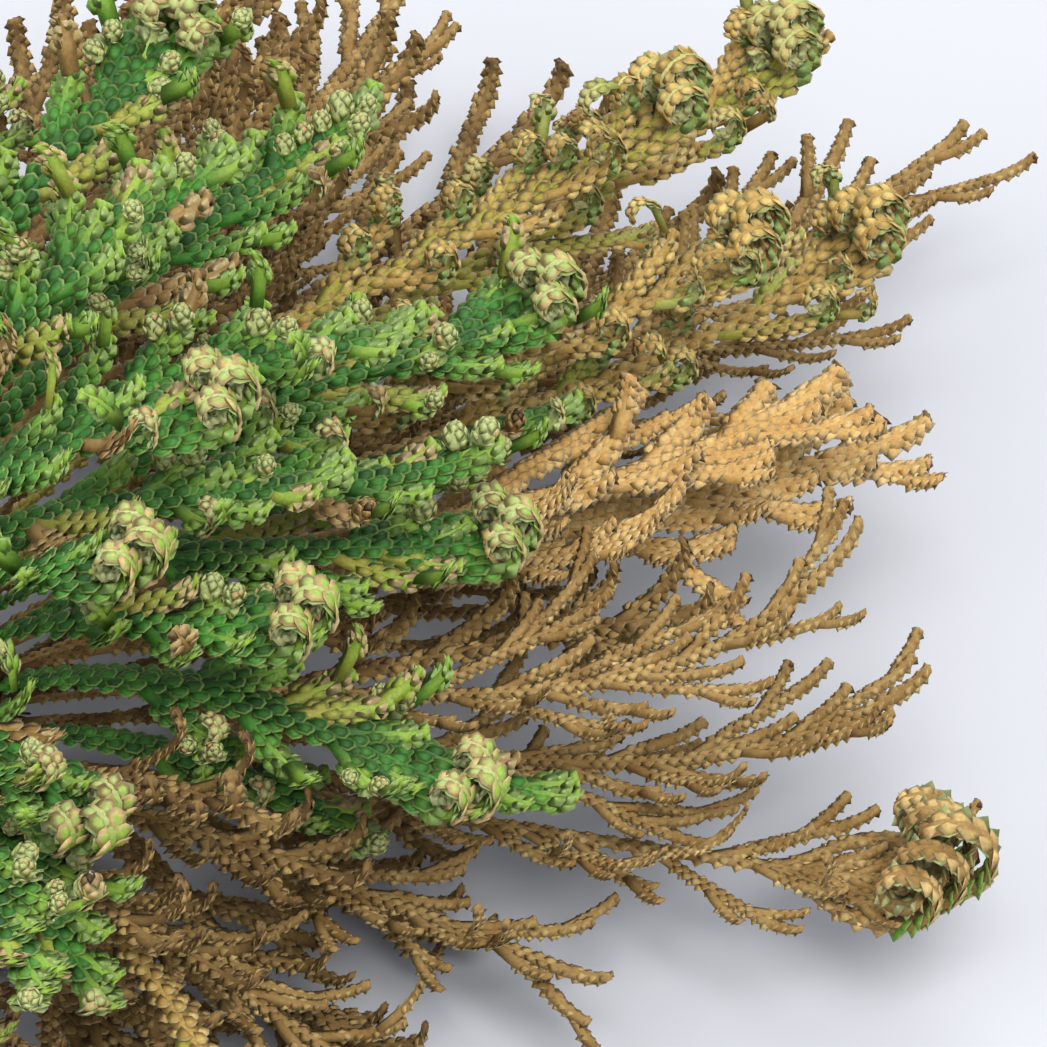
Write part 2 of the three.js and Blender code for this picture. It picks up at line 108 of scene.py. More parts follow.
def squared(n: Array, t: Array) -> Array:
    """Return normals made square to their tangents."""
    return unit(n - t * (n * t).sum(-1, keepdims=True))


@dataclass(eq=False)
class Shoot:
    """A line of points, each with its distance from the start, direction, upper side and half width.

    straight is its length up to the curl, and curl the angle in radians that the rest rolls up by.
    """

    points: Array
    runs: Array
    tangents: Array
    normals: Array
    widths: Array
    straight: float
    curl: float
    parent: "Shoot | None" = None
    start: float = 0.0
    side: int = 0
    forks: "list[Shoot]" = field(default_factory=list)

    def __post_init__(self) -> None:
        """Measure the ball that holds the shoot."""
        self.centre = (self.points.min(0) + self.points.max(0)) / 2
        self.radius = float(np.sqrt(((self.points - self.centre) ** 2).sum(1)).max())

    @property
    def length(self) -> float:
        """Return the whole length, curl included."""
        return float(self.runs[-1])

    def at(self, distance: float) -> tuple[Vector, Vector, Vector]:
        """Read the shoot at one place.

        Args:
            distance: distance from its start.

        Returns:
            The point, the tangent and the normal there.
        """
        i = int(np.clip(np.searchsorted(self.runs, distance) - 1, 0, len(self.runs) - 2))
        share = (distance - self.runs[i]) / (self.runs[i + 1] - self.runs[i])
        p, t, n = (a[i] + (a[i + 1] - a[i]) * share for a in (self.points, self.tangents, self.normals))
        return p, unit(t), squared(n, unit(t))

    def beyond_root(self, room: float = ROOM_AT_ROOT) -> "Shoot":
        """Cut off the shoot's first few millimetres.

        Args:
            room: how much to cut off.

        Returns:
            The rest of the shoot, of at least two points.
        """
        late = np.nonzero(self.runs >= room)[0]
        cut = max(min(late[0] if len(late) else -1, len(self.runs) - 2), 0)
        return replace(self, points=self.points[cut:], normals=self.normals[cut:], widths=self.widths[cut:])

    def room_beside(self, points: Array) -> Array:
        """Return the room between points and the edges of the parent: least distance less half width."""
        apart = np.sqrt(((points[:, None] - self.parent.points[None]) ** 2).sum(-1))
        return (apart - self.parent.widths * WIDE).min(1) - 0.2

    def leaving(self) -> float:
        """Return how far along it the shoot has left its parent."""
        free = np.nonzero(self.room_beside(self.points) > self.widths[0] * 0.5)[0]
        return float(self.runs[free[0]]) if len(free) else self.length


@dataclass(frozen=True)
class Shape:
    """How a shoot grows: its length, its turning up and sideways, and the curl at its end, in degrees."""

    length: float
    bend: float
    side: float
    curl: float
    curl_length: float
    width: float


def grow(p: Vector, t: Vector, n: Vector, shape: Shape) -> Shoot:
    """Grow a shoot by small steps.

    In each step the frame of tangent, left and normal turns by a small lift about left, then by a small turn
    about normal. The lift is even, plus in the curl a roll whose rate rises from half to one and a half times
    its mean. The points are the running sum of the tangents times the step.

    Args:
        p: the first point.
        t: the direction there.
        n: the upper side there.
        shape: the length, bends and curl.

    Returns:
        The grown shoot.
    """
    count = max(2, math.ceil(shape.length / STEP))
    step = shape.length / count
    turn = min(math.radians(shape.curl), shape.curl_length / TIGHTEST)
    into = (np.arange(count) + 0.5) * step - (shape.length - shape.curl_length)
    roll = np.where(into > 0, turn / shape.curl_length * (0.5 + into / shape.curl_length) * step, 0.0)
    lift = math.radians(shape.bend) / count + roll
    ca, sa = np.cos(lift), np.sin(lift)
    cb, sb = math.cos(math.radians(shape.side) / count), math.sin(math.radians(shape.side) / count)
    zero = np.zeros(count)
    turns = np.stack([cb * ca, zero + sb, cb * sa, -sb * ca, zero + cb, -sb * sa, -sa, zero, ca], 1)
    line = [np.stack([t, np.cross(n, t), n])]
    for turned in turns.reshape(count, 3, 3):
        line.append(turned @ line[-1])
    line = np.stack(line)
    points = p + np.concatenate([np.zeros((1, 3)), np.cumsum(line[1:, 0], 0)]) * step
    runs = np.arange(count + 1) * step
    widths = np.full(count + 1, shape.width)
    return Shoot(points, runs, line[:, 0], line[:, 2], widths, shape.length - shape.curl_length, turn)


@dataclass(frozen=True)
class Room:
    """What a shoot needs.

    wide: how far its edges reach, in half widths.
    gap: the room left between edges.
    thick: the height left between flat sides.
    floor: no point of it is lower.
    """

    wide: float = WIDE
    gap: float = GAP
    thick: float = THICK + GAP
    floor: float = FLOOR


APART = Room()
BESIDE = Room(wide=0.82, gap=0.0, thick=1.0)
IN_FAN = Room(wide=0.66, gap=0.0, thick=0.8)
BELOW = Room(wide=0.8, gap=0.0, thick=1.3, floor=1.4)


class Crowd:
    """Shoots that a new one has to clear."""

    def __init__(self, shoots: "list[Shoot]") -> None:
        """Gather the points, normals and widths of all the shoots.

        Args:
            shoots: the shoots to clear.
        """
        self.points = np.concatenate([s.points for s in shoots] or [np.zeros((0, 3))])
        self.normals = np.concatenate([s.normals for s in shoots] or [np.zeros((0, 3))])
        self.widths = np.concatenate([s.widths for s in shoots] or [np.zeros(0)])

    def near(self, centre: Vector, radius: float) -> "Crowd":
        """Take the part of the crowd inside a ball.

        Args:
            centre: the ball's centre.
            radius: its radius.

        Returns:
            A smaller crowd.
        """
        away = self.points - centre
        inside = np.nonzero(np.einsum("ij,ij->i", away, away) < radius * radius)[0]
        part = Crowd([])
        part.points, part.normals = self.points[inside], self.normals[inside]
        part.widths = self.widths[inside]
        return part

    def clears(self, shoot: Shoot, room: Room = APART) -> bool:
        """Tell whether a shoot hangs above the floor and keeps its gap to all the others.

        Args:
            shoot: the new shoot.
            room: what it needs.

        Returns:
            True if it does. Every sixth point is tried first, where most that don't clear already fail.
        """
        if not (shoot.points[:, 2] > room.floor).all():
            return False
        near = self.near(shoot.centre, shoot.radius + 5)
        if not len(near.points):
            return True
        few = slice(None, None, 6)
        return not near.touches(shoot, room, few) and not near.touches(shoot, room, slice(None))

    def touches(self, shoot: Shoot, room: Room, some: slice) -> bool:
        """Tell whether some of a shoot's points are too close to the crowd's.

        Two points are too close if one lies within the other's flat section: its height along either normal
        is under the thickness, and its distance in that plane under both half widths and the gap.

        Args:
            shoot: the new shoot.
            room: what it needs.
            some: which of its points to try.

        Returns:
            True if any two points are too close.
        """
        points, normals, widths = shoot.points[some], shoot.normals[some], shoot.widths[some]
        far = (widths[:, None] + self.widths) * room.wide + room.gap
        apart = self.points - points[:, None]
        square = np.einsum("ijk,ijk->ij", apart, apart)
        i, j = np.nonzero(square <= far * far + room.thick**2)
        for normal in (normals[i], self.normals[j]):
            height = (apart[i, j] * normal).sum(-1)
            if ((np.abs(height) < room.thick) & (square[i, j] - height**2 < far[i, j] ** 2)).any():
                return True
        return False


# ---- how the fronds are set -----------------------------------------------------------------------------
class Habit(Enum):
    """The three kinds of frond."""

    GREEN = "green"
    TAN = "tan"
    ROLLED = "rolled"


@dataclass(frozen=True)
class Form:
    """How a frond branches. Shares are of its axis up to the curl, angles are in degrees."""

    first: float
    last: float
    count: int
    spread: float
    reach: float
    taper: float
    forward: float
    lift: float
    bend: float
    curl: float
    curl_length: float
    width: float
    forks: int


FORMS = {
    Habit.GREEN: Form(0.34, 0.9, 8, 48, 0.36, 0.5, 30, 4, -6, 240, 6, 1.3, 3),
    Habit.TAN: Form(0.4, 0.9, 8, 40, 0.38, 0.45, 12, 3, 4, 80, 8, 1.0, 4),
    Habit.ROLLED: Form(0.44, 0.88, 6, 36, 0.3, 0.4, 20, 3, 0, 300, 13, 1.3, 2),
}


@dataclass(frozen=True)
class Seat:
    """Where a frond stands: azimuth, distance and height of its tip, and its climb at the crown and the tip.

    turn is how far the tip turns sideways, and back how far the foot stands back from the azimuth.
    """

    habit: Habit
    azimuth: float
    radius: float
    height: float
    rise: float
    pitch: float
    turn: float = 0.0
    back: float = 0.0
    form: "Form | None" = None


def seat(habit: Habit, azimuth: float, radius: float, height: float, rise: float, pitch: float,
         turn: float = 0.0, back: float = 0.0, **changes: float) -> Seat:
    """Return a frond's seat, with its form changed where it differs from its kind's."""
    return Seat(habit, azimuth, radius, height, rise, pitch, turn, back, replace(FORMS[habit], **changes))


# Fronds set one by one, lowest first.
PLACED = [
    seat(Habit.TAN, -34, 44, 6, 0, -4),
    seat(Habit.TAN, -18, 54, 6, 0, -4, -6),
    seat(Habit.TAN, -8, 78, 8, 0, 4, -4, curl=290, curl_length=20),
    seat(Habit.TAN, 37, 100, 12, 4, 8, 4),
    seat(Habit.TAN, 1, 74, 14, 6, 14, 24, -6),
    seat(Habit.TAN, 19, 79, 15, 10, 6),
    seat(Habit.TAN, 63, 84, 14, 10, 6),
    seat(Habit.GREEN, -14, 38, 12, 16, -14, -10, reach=0.26),
    seat(Habit.TAN, 4, 70, 24, 14, 30, 34, -10),
    seat(Habit.GREEN, -11, 51, 13, 20, -8, reach=0.22),
    seat(Habit.ROLLED, 30, 86, 19, 14, 12, 5),
    seat(Habit.TAN, 20, 73, 20, 18, 8, 14),
    seat(Habit.ROLLED, 41, 91, 23, 18, 14),
    seat(Habit.ROLLED, 28, 74, 26, 24, 14),
    seat(Habit.ROLLED, 38, 76, 29, 28, 14),
    seat(Habit.GREEN, 23, 55, 22, 30, 0),
    seat(Habit.GREEN, -17, 47, 20, 34, -14, -8, count=7),
    seat(Habit.GREEN, -56, 37, 20, 34, -8),
    seat(Habit.GREEN, 8, 48, 24, 36, -4, 6),
    seat(Habit.GREEN, 27, 57, 29, 40, 6),
    seat(Habit.GREEN, 11, 46, 30, 42, 8, 4),
    seat(Habit.GREEN, -16, 36, 33, 48, 8, 16),
    seat(Habit.GREEN, 4, 35, 34, 48, 0, 10),
    seat(Habit.GREEN, 45, 52, 36, 50, 4, -6),
    seat(Habit.GREEN, -50, 32, 28, 50, -12),
    seat(Habit.GREEN, 19, 41, 37, 54, 0, -10),
    seat(Habit.GREEN, 3, 29, 42, 60, 0, 14),
    seat(Habit.GREEN, -24, 26, 39, 62, 4, 14),
    seat(Habit.GREEN, 43, 37, 42, 60, 8, 6),
    seat(Habit.GREEN, 57, 45, 44, 58, 4),
    seat(Habit.GREEN, 37, 29, 47, 68, 10, 14),
]


def ring(count: int, first: float, last: float, model: Seat) -> list[Seat]:
    """Return seats spread evenly between two azimuths, each a little off the model's distance and height.

    Args:
        count: how many.
        first: the azimuth where they begin, in degrees.
        last: the azimuth where they end.
        model: the seat that they all follow but for their azimuth.

    Returns:
        The seats, in order round the crown.
    """
    return [
        replace(
            model,
            azimuth=first + (last - first) * (i + 0.5) / count + 3 * wobble(i, model.radius),
            radius=model.radius * (1 + 0.07 * wobble(i, model.height)),
            height=model.height + 1.5 * wobble(i, model.rise),
        )
        for i in range(count)
    ]


# The rest stand in rings: the azimuth given here is replaced.
SEATS = [
    *PLACED,
    *ring(6, 82, 304, seat(Habit.TAN, 0, 84, 8, 2, 5, first=0.3, reach=0.46)),
    *ring(6, 98, 324, seat(Habit.ROLLED, 0, 78, 20, 16, 12, reach=0.38)),
    *ring(6, 70, 294, seat(Habit.GREEN, 0, 63, 27, 32, 2, reach=0.42)),
    *ring(6, 88, 310, seat(Habit.GREEN, 0, 48, 37, 50, 4, reach=0.42)),
    *ring(3, 100, 330, seat(Habit.GREEN, 0, 28, 46, 68, 20, reach=0.46)),
]


@dataclass(frozen=True)
class Shift:
    """How far a frond is moved: its tip up and aside, its foot up and round the crown."""

    lift: float
    seat: float
    swing: float
    aside: float

    @property
    def cost(self) -> float:
        """Return how much the shift changes the frond."""
        return abs(self.lift) / 1.5 + abs(self.seat) / 7 + abs(self.swing) / 6 + abs(self.aside)


@dataclass
class Frond:
    """A frond: its seat, its axis, the side branches in order, and the sprigs that fill it out."""

    seat: Seat
    axis: Shoot
    branches: "list[Shoot]" = field(default_factory=list)
    sprigs: "list[Shoot]" = field(default_factory=list)

    @property
    def offshoots(self) -> "list[Shoot]":
        """Return the branches, each followed by its forks."""
        return [shoot for branch in self.branches for shoot in (branch, *branch.forks)]

    @property
    def shoots(self) -> "list[Shoot]":
        """Return the axis and all that grows from it."""
        return [self.axis, *self.offshoots, *self.sprigs]


@dataclass
class Rosette:
    """Sets the fronds round the crown and branches them, each clear of those before it."""

    crown_radius: float = 13.0
    crown_rise: float = 15.0
    crown_middle: float = 13.0
    play: float = 0.7
    lifts: tuple = (0, 1.5, -1.5, 3, -3, 4.5, -4.5, 6, -6)
    seats: tuple = (0, 7, -7, 14, -14, 21)
    swings: tuple = (0, 6, -6, 12, -12, 18, -18)
    asides: tuple = (0, 2, -2)
    branch_lengths: tuple = (1, 0.75)
    branch_spreads: tuple = (1, 0.7, 1.25)
    branch_lifts: tuple = (0, 9, -9, 18, -18, 27)
    fork_start: float = 0.4
    fork_reach: float = 0.55
    fork_spread: float = 30.0
    fork_forward: float = 14.0
    fork_mouth: float = 1.5
    stride: int = 14
    hidden: float = 14.0
    fronds: "list[Frond]" = field(default_factory=list)

    def grow_all(self) -> None:
        """Set every frond's axis, then branch the fronds in the same order."""
        ways = itertools.product(self.lifts, self.seats, self.swings, self.asides)
        shifts = sorted((Shift(*way) for way in ways), key=lambda shift: shift.cost)
        for place in SEATS:
            crowd = Crowd([frond.axis for frond in self.fronds])
            axes = (self.axis_of(place, shift) for shift in shifts)
            self.fronds.append(Frond(place, next(axis for axis in axes if crowd.clears(axis))))
        for k, frond in enumerate(self.fronds):
            others = [shoot for other in self.fronds if other is not frond for shoot in other.shoots]
            self.branch(frond, k, Crowd(others), APART)

    def fill(self, places: "list[Seat]") -> "list[Frond]":
        """Set more fronds in the room that is left among those already grown.

        Their feet are hidden between the others, so only the rest of an axis has to be clear.

        Args:
            places: the seats to try.

        Returns:
            The new fronds. A seat whose frond can't be moved clear is left empty.
        """
        ways = itertools.product(self.lifts, self.seats, self.swings, self.asides)
        shifts = sorted((Shift(*way) for way in ways), key=lambda shift: shift.cost)[:: self.stride]
        added: list[Frond] = []
        for k, place in enumerate(places, len(self.fronds)):
            crowd = Crowd([shoot for frond in [*self.fronds, *added] for shoot in frond.shoots])
            axes = (self.axis_of(place, shift) for shift in shifts)
            axis = next((axis for axis in axes if crowd.clears(axis.beyond_root(self.hidden), BELOW)), None)
            if axis is not None:
                added.append(Frond(place, axis))
                self.branch(added[-1], k, crowd.near(axis.centre, axis.radius + 30), BELOW)
        return added

    def axis_of(self, place: Seat, shift: Shift) -> Shoot:
        """Grow a frond's axis: a cubic curve from the crown to the tip, then the curl. Its foot is slim.

        Args:
            place: the frond's seat.
            shift: how far it is moved from there.

        Returns:
            The axis.
        """
        foot = place.azimuth + place.back + shift.swing
        climb = math.radians(0.95 * place.rise - 6 + shift.seat)
        a = heading(foot, 0) * (self.crown_radius + self.play) * math.cos(climb)
        a[2] = self.crown_middle + (self.crown_rise + self.play) * math.sin(climb)
        d = heading(place.azimuth + shift.aside, 0) * place.radius
        d[2] = place.height + shift.lift
        reach = math.dist(a, d) * 0.36
        b = a + heading(foot, place.rise) * reach
        c = d - heading(place.azimuth + shift.aside + place.turn, place.pitch) * reach
        points, straight = self.spaced(a, b, c, d)
        last = len(points) - 1
        order = np.arange(last + 1)
        tangents = unit(points[np.minimum(order + 1, last)] - points[np.maximum(order - 1, 0)])
        normals = self.carried(tangents, heading(foot, place.rise + 90))
        runs = straight * order / last
        form = place.form
        width = form.width * 1.15
        widths = width * np.minimum(1, FOOT + (1 - FOOT) * (runs / straight / form.first))
        curl = Shape(form.curl_length, 0, 0, form.curl, form.curl_length, width)
        tip = grow(points[-1], tangents[-1], normals[-1], curl)
        return Shoot(
            np.concatenate([points, tip.points[1:]]),
            np.concatenate([runs, straight + tip.runs[1:]]),
            np.concatenate([tangents, tip.tangents[1:]]),
            np.concatenate([normals, tip.normals[1:]]),
            np.concatenate([widths, tip.widths[1:]]),
            straight,
            tip.curl,
        )

    @staticmethod
    def spaced(a: Vector, b: Vector, c: Vector, d: Vector) -> tuple[Array, float]:
        """Space points evenly on the cubic curve (1-u)^3 a + 3u(1-u)^2 b + 3u^2(1-u) c + u^3 d.

        Args:
            a: where the curve starts.
            b: the point that it starts towards.
            c: the point that it ends from.
            d: where it ends.

        Returns:
            The points, and the curve's length as measured in short slices.
        """
        u = (np.arange(SLICES + 1) / SLICES)[:, None]
        slices = a * (1 - u) ** 3 + b * 3 * u * (1 - u) ** 2 + c * 3 * u * u * (1 - u) + d * u**3
        runs = np.concatenate([[0.0], np.cumsum(np.sqrt((np.diff(slices, axis=0) ** 2).sum(1)))])
        count = math.ceil(runs[-1] / STEP)
        wanted = runs[-1] * np.arange(count + 1) / count
        return np.stack([np.interp(wanted, runs, slices[:, i]) for i in range(3)], 1), float(runs[-1])

    @staticmethod
    def carried(tangents: Array, n: Vector) -> Array:
        """Carry a normal along a line, made square to each tangent in turn.

        Args:
            tangents: the line's directions.
            n: the normal at its start.

        Returns:
            A normal for each tangent.
        """
        normals = []
        for t in tangents:
            n = n - t * n.dot(t)
            n = n / math.sqrt(n.dot(n))
            normals.append(n)
        return np.stack(normals)

    def branch(self, frond: Frond, k: int, around: Crowd, room: Room) -> None:
        """Grow a frond's side branches, and forks on the first of them.

        Args:
            frond: the frond.
            k: its place in the order, which its scatter depends on.
            around: the shoots of the other fronds.
            room: what a branch needs.
        """
        form, axis = frond.seat.form, frond.axis
        for i in range(form.count):
            side = 1 if (i + k) % 2 else -1
            q = i / (form.count - 1)
            shape = Shape(
                length=axis.straight * form.reach * (1 - form.taper * q) * (1 + 0.12 * wobble(k, i + 7)),
                bend=form.bend + 2 * form.lift + 10 * wobble(k + 3, i),
                side=-side * form.forward,
                curl=form.curl * 0.9,
                curl_length=form.curl_length,
                width=form.width,
            )
            turn = side * form.spread * (1 - 0.25 * q) * (1 + 0.15 * wobble(k, i))
            start = axis.straight * (form.first + (form.last - form.first) * q)
            own = frond.offshoots
            branch = self.branch_from(axis, start, turn, shape, around, own, room)
            if branch is None:
                continue
            frond.branches.append(branch)
            if i >= form.forks:
                continue
            away = -side if wobble(k, i + 11) > -0.2 else side
            start = max(branch.length * self.fork_start, branch.leaving() + self.fork_mouth)
            if start + self.fork_mouth > branch.straight:
                continue
            shape = replace(shape, length=branch.length * self.fork_reach, bend=0,
                            side=-away * self.fork_forward, width=form.width * 0.9)
            fork = self.branch_from(branch, start, away * self.fork_spread, shape, around, [*own, axis], room)
            if fork is not None:
                branch.forks.append(fork)

    def branch_from(self, parent: Shoot, start: float, turn: float, shape: Shape, around: Crowd,
                    siblings: "list[Shoot]", room: Room) -> "Shoot | None":
        """Grow a side branch where there is room for it.

        Args:
            parent: the shoot that it grows from.
            start: how far along the parent.
            turn: its angle to the parent, in degrees, to the left if positive.
            shape: how it grows.
            around: the shoots of other fronds.
            siblings: shoots of its own frond, which it may be near at its root only.
            room: what it needs.

        Returns:
            The branch, or nothing if no way of lifting, closing or shortening it clears the others.
        """
        p, t, n = parent.at(start)
        left = np.cross(n, t)
        near = Crowd([sibling.beyond_root() for sibling in siblings])
        ways = itertools.product(self.branch_lengths, self.branch_spreads, self.branch_lifts)
        for share, spread, more in ways:
            angle = math.radians(turn * spread)
            length = shape.length * share
            tried = replace(shape, length=length, curl_length=min(shape.curl_length, length * 0.5),
                            bend=shape.bend + 2 * more)
            branch = grow(p, t * math.cos(angle) + left * math.sin(angle), n, tried)
            branch.parent, branch.start, branch.side = parent, start, 1 if turn > 0 else -1
            gone = branch.leaving() < min(length * 0.6, 7) - 1e-6
            if gone and around.clears(branch, room) and near.clears(branch.beyond_root(), room):
                return branch
        return None


# ---- sprigs -----------------------------------------------------------------------------------------------
@dataclass(frozen=True)
class Sprigs:
    """The short last branchlets of one kind of frond, which fill it out to a fan.

    spacing: distance between sprigs along a shoot, taken from side to side.
    first: distance of the first one past the place where its shoot has left its own parent.
    """

    spacing: float = 2.6
    first: float = 1.4
    share: float = 0.84
    shortest: float = 4.2
    longest: float = 14.0
    spread: float = 32.0
    forward: float = 24.0
    slimmer: float = 0.93
    rounds: int = 2
    room: Room = BESIDE

    def add_to(self, frond: Frond, k: int, around: Crowd) -> None:
        """Grow sprigs on every shoot of a frond, then on those sprigs.

        Args:
            frond: the frond.
            k: its place in the order, which its scatter depends on.
            around: the shoots of the other fronds.
        """
        parents = frond.shoots
        for _ in range(self.rounds):
            before = len(frond.sprigs)
            for parent in parents:
                self.feather(frond, k, parent, around)
            parents = frond.sprigs[before:]

    def feather(self, frond: Frond, k: int, parent: Shoot, around: Crowd) -> None:
        """Grow the sprigs of one shoot, to its left and right in turn.

        Args:
            frond: the frond that they belong to.
            k: its place in the order.
            parent: the shoot that they grow from.
            around: the shoots of the other fronds.
        """
        form = frond.seat.form
        begin = parent.straight * form.first if parent.parent is None else parent.leaving() + self.first
        count = int((parent.straight - 0.6 - begin) / self.spacing) + 1
        for i in range(max(count, 0)):
            start = begin + i * self.spacing
            chance = wobble(k + i, parent.start + 3)
            side = 1 if (i + (parent.side > 0)) % 2 else -1
            left = parent.straight - start
            length = min(max(self.share * left * (1 + 0.2 * chance), self.shortest), self.longest)
            curl_length = min(form.curl_length, 0.5 * length)
            shape = Shape(length, 4 * chance, -side * self.forward, form.curl, curl_length,
                          parent.widths[-1] * self.slimmer)
            sprig = self.sprig_from(parent, start, side, shape, frond, around)
            if sprig is not None:
                frond.sprigs.append(sprig)

    def sprig_from(self, parent: Shoot, start: float, side: int, shape: Shape, frond: Frond,
                   around: Crowd) -> "Shoot | None":
        """Grow a sprig, closed in or opened where it would cross another shoot.

        Args:
            parent: the shoot that it grows from.
            start: how far along it.
            side: 1 for the left, -1 for the right.
            shape: how it grows.
            frond: the frond that it belongs to.
            around: the shoots of the other fronds.

        Returns:
            The sprig, or nothing if it has no room.
        """
        p, t, n = parent.at(start)
        left = np.cross(n, t)
        own = Crowd([s.beyond_root() for s in frond.shoots if s is not parent])
        for spread, bend in itertools.product((1, 1.3, 0.7), (0, 16, 34, -14)):
            angle = math.radians(side * self.spread * spread)
            sprig = grow(p, t * math.cos(angle) + left * math.sin(angle), n,
                         replace(shape, bend=shape.bend + bend))
            sprig.parent, sprig.start, sprig.side = parent, start, side
            if around.clears(sprig, self.room) and own.clears(sprig.beyond_root(), IN_FAN):
                return sprig
        return None


SPRIGS = {
    Habit.GREEN: Sprigs(),
    Habit.TAN: Sprigs(spacing=3.2, share=0.62, shortest=2.6, longest=9.0, spread=32, forward=20, slimmer=0.92,
                      room=Room(wide=0.9, gap=0.0, thick=1.4, floor=1.6)),
    Habit.ROLLED: Sprigs(spacing=4.2, first=2.5, share=0.7, shortest=5.0, longest=10.0, rounds=1),
}


# ---- meshes ---------------------------------------------------------------------------------------------
@dataclass
class Body:
    """Points in millimetres, triangles, and what each point carries for its finish.

    place holds rim, under and along; state holds youth, dryness and chance; both are 0 to 1.
    """

    points: Array
    triangles: Array
    place: Array
    state: Array

    @staticmethod
    def of(points: Array, triangles: Array) -> "Body":
        """Make a body whose points all carry the same.

        Args:
            points: its points.
            triangles: its triangles.

        Returns:
            The body.
        """
        state = np.tile([0.0, 0.0, 0.5], (len(points), 1))
        return Body(points, triangles, np.zeros((len(points), 3)), state)


def joined(bodies: "list[Body]") -> Body:
    """Join bodies.

    Args:
        bodies: what to join.

    Returns:
        One body that holds them all.
    """
    offsets = np.cumsum([0] + [len(body.points) for body in bodies])
    triangles = np.concatenate([body.triangles + at for body, at in zip(bodies, offsets)])
    points, place, state = (
        np.concatenate([getattr(body, part) for body in bodies]) for part in ("points", "place", "state")
    )
    return Body(points, triangles, place, state)


def add_piece(name: str, bodies: "list[Body]", finish: bpy.types.Material) -> bpy.types.Object:
    """Make one piece of all the bodies, in metres, and let it ride on the plant.

    Args:
        name: the piece's name.
        bodies: what it is made of.
        finish: its material.

    Returns:
        The new object, with smooth faces and the attributes leaf_place and leaf_state.
    """
    whole = joined(bodies)
    triangles = whole.triangles.astype(np.int32)
    mesh = bpy.data.meshes.new(name)
    mesh.vertices.add(len(whole.points))
    mesh.vertices.foreach_set("co", (whole.points * MM).astype(np.float32).ravel())
    mesh.loops.add(triangles.size)
    mesh.loops.foreach_set("vertex_index", triangles.ravel())
    mesh.polygons.add(len(triangles))
    mesh.polygons.foreach_set("loop_start", np.arange(0, triangles.size, 3, dtype=np.int32))
    mesh.polygons.foreach_set("use_smooth", np.ones(len(triangles), dtype=bool))
    mesh.materials.append(finish)
    for label, values in (("leaf_place", whole.place), ("leaf_state", whole.state)):
        data = mesh.attributes.new(label, "FLOAT_VECTOR", "POINT").data
        data.foreach_set("vector", values.astype(np.float32).ravel())
    mesh.update(calc_edges=True)
    mesh.validate()
    piece = bpy.data.objects.new(name, mesh)
    bpy.context.scene.collection.objects.link(piece)
    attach(piece, "root")
    LOG.info("%s: %d triangles", name, len(triangles))
    return piece


def tube(points: Array, normals: Array, tangents: Array, across: Array, up: Array, down: Array) -> Body:
    """Sweep a four-sided section along points and close both ends.

    Each ring has its corners at the left by across, on the upper side by up, at the right by across and on
    the lower side by down. The ends are closed by fans to the first and the last point.

    Args:
        points: the path, in millimetres.
        normals: its upper side.
        tangents: its direction.
        across: the section's reach to the left and right, at each point.
        up: its reach above.
        down: its reach below.

    Returns:
        The closed body.
    """
    lefts = np.cross(normals, tangents)
    rings = np.stack([points + lefts * across[:, None], points + normals * up[:, None],
                      points - lefts * across[:, None], points - normals * down[:, None]], 1)
    count, corner = len(points), np.arange(4)
    after = (corner + 1) % 4
    low = (np.arange(count - 1)[:, None] * 4 + corner).ravel()
    low_after = (np.arange(count - 1)[:, None] * 4 + after).ravel()
    sides = np.concatenate([np.stack([low, low + 4, low_after], 1),
                            np.stack([low_after, low + 4, low_after + 4], 1)])
    root, tip = count * 4, count * 4 + 1
    top = (count - 1) * 4
    ends = np.concatenate([np.stack([corner * 0 + root, corner, after], 1),
                           np.stack([corner * 0 + tip, after + top, corner + top], 1)])
    corners = np.concatenate([rings.reshape(-1, 3), points[:1], points[-1:] + tangents[-1:] * 0.15])
    return Body.of(corners, np.concatenate([sides, ends]))


# ---- scale leaves ---------------------------------------------------------------------------------------
@dataclass(frozen=True)
class Rank:
    """One row of scale leaves along a shoot. Sizes are in the shoot's half widths, the splay in degrees.

    A rank that faces down lies on the back of a curl, and only there.
    """

    side: int
    root: float
    splay: float
    rise: float
    tilt: float
    lag: float
    faces_down: bool = False


RANKS = (
    Rank(1, 0.26, 33, -0.08, 0.14, 0.0),
    Rank(-1, 0.26, 33, -0.08, 0.14, 0.5),
    Rank(1, 0.19, 10, 0.14, 0.17, 0.28),
    Rank(-1, 0.19, 10, 0.14, 0.17, 0.78),
    Rank(1, 0.16, 30, 0.20, 0.12, 0.1, True),
    Rank(-1, 0.16, 30, 0.20, 0.12, 0.6, True),
)


@dataclass(frozen=True)
class ScaleLeaf:
    """A scale leaf: a thin closed body, domed above and flat below. Sizes are in half widths of its shoot."""

    length: float
    breadth: float
    rim: tuple
    dome: float = 0.05
    camber: float = 0.1

    def corners(self) -> tuple[Array, Array]:
        """Lay out the leaf: its upper face is a fan round its middle, its lower one a fan from its root.

        Returns:
            The corners as along, across, height and rim, and the triangles.
        """
        rim = np.array(self.rim)
        count = len(rim)
        ring = np.column_stack([rim, -self.camber * (2 * rim[:, 1]) ** 2, np.ones(count)])
        order = np.arange(count)
        above = np.stack([order * 0 + count, order, (order + 1) % count], 1)
        below = np.stack([order[1:-1] * 0, order[2:], order[1:-1]], 1)
        return np.concatenate([ring, [[0.58, 0, self.dome, 0]]]), np.concatenate([above, below])


ROUND_RIM = ((0.0, 0.0), (0.34, -0.47), (0.86, -0.42), (1.02, 0.0), (0.86, 0.42), (0.34, 0.47))
POINTED_RIM = ((0.0, 0.0), (0.6, -0.5), (1.0, 0.0), (0.6, 0.5))
ROUND_LEAF = ScaleLeaf(1.4, 1.08, ROUND_RIM)
SMALL_LEAF = ScaleLeaf(1.35, 1.25, POINTED_RIM, 0.14, 0.22)


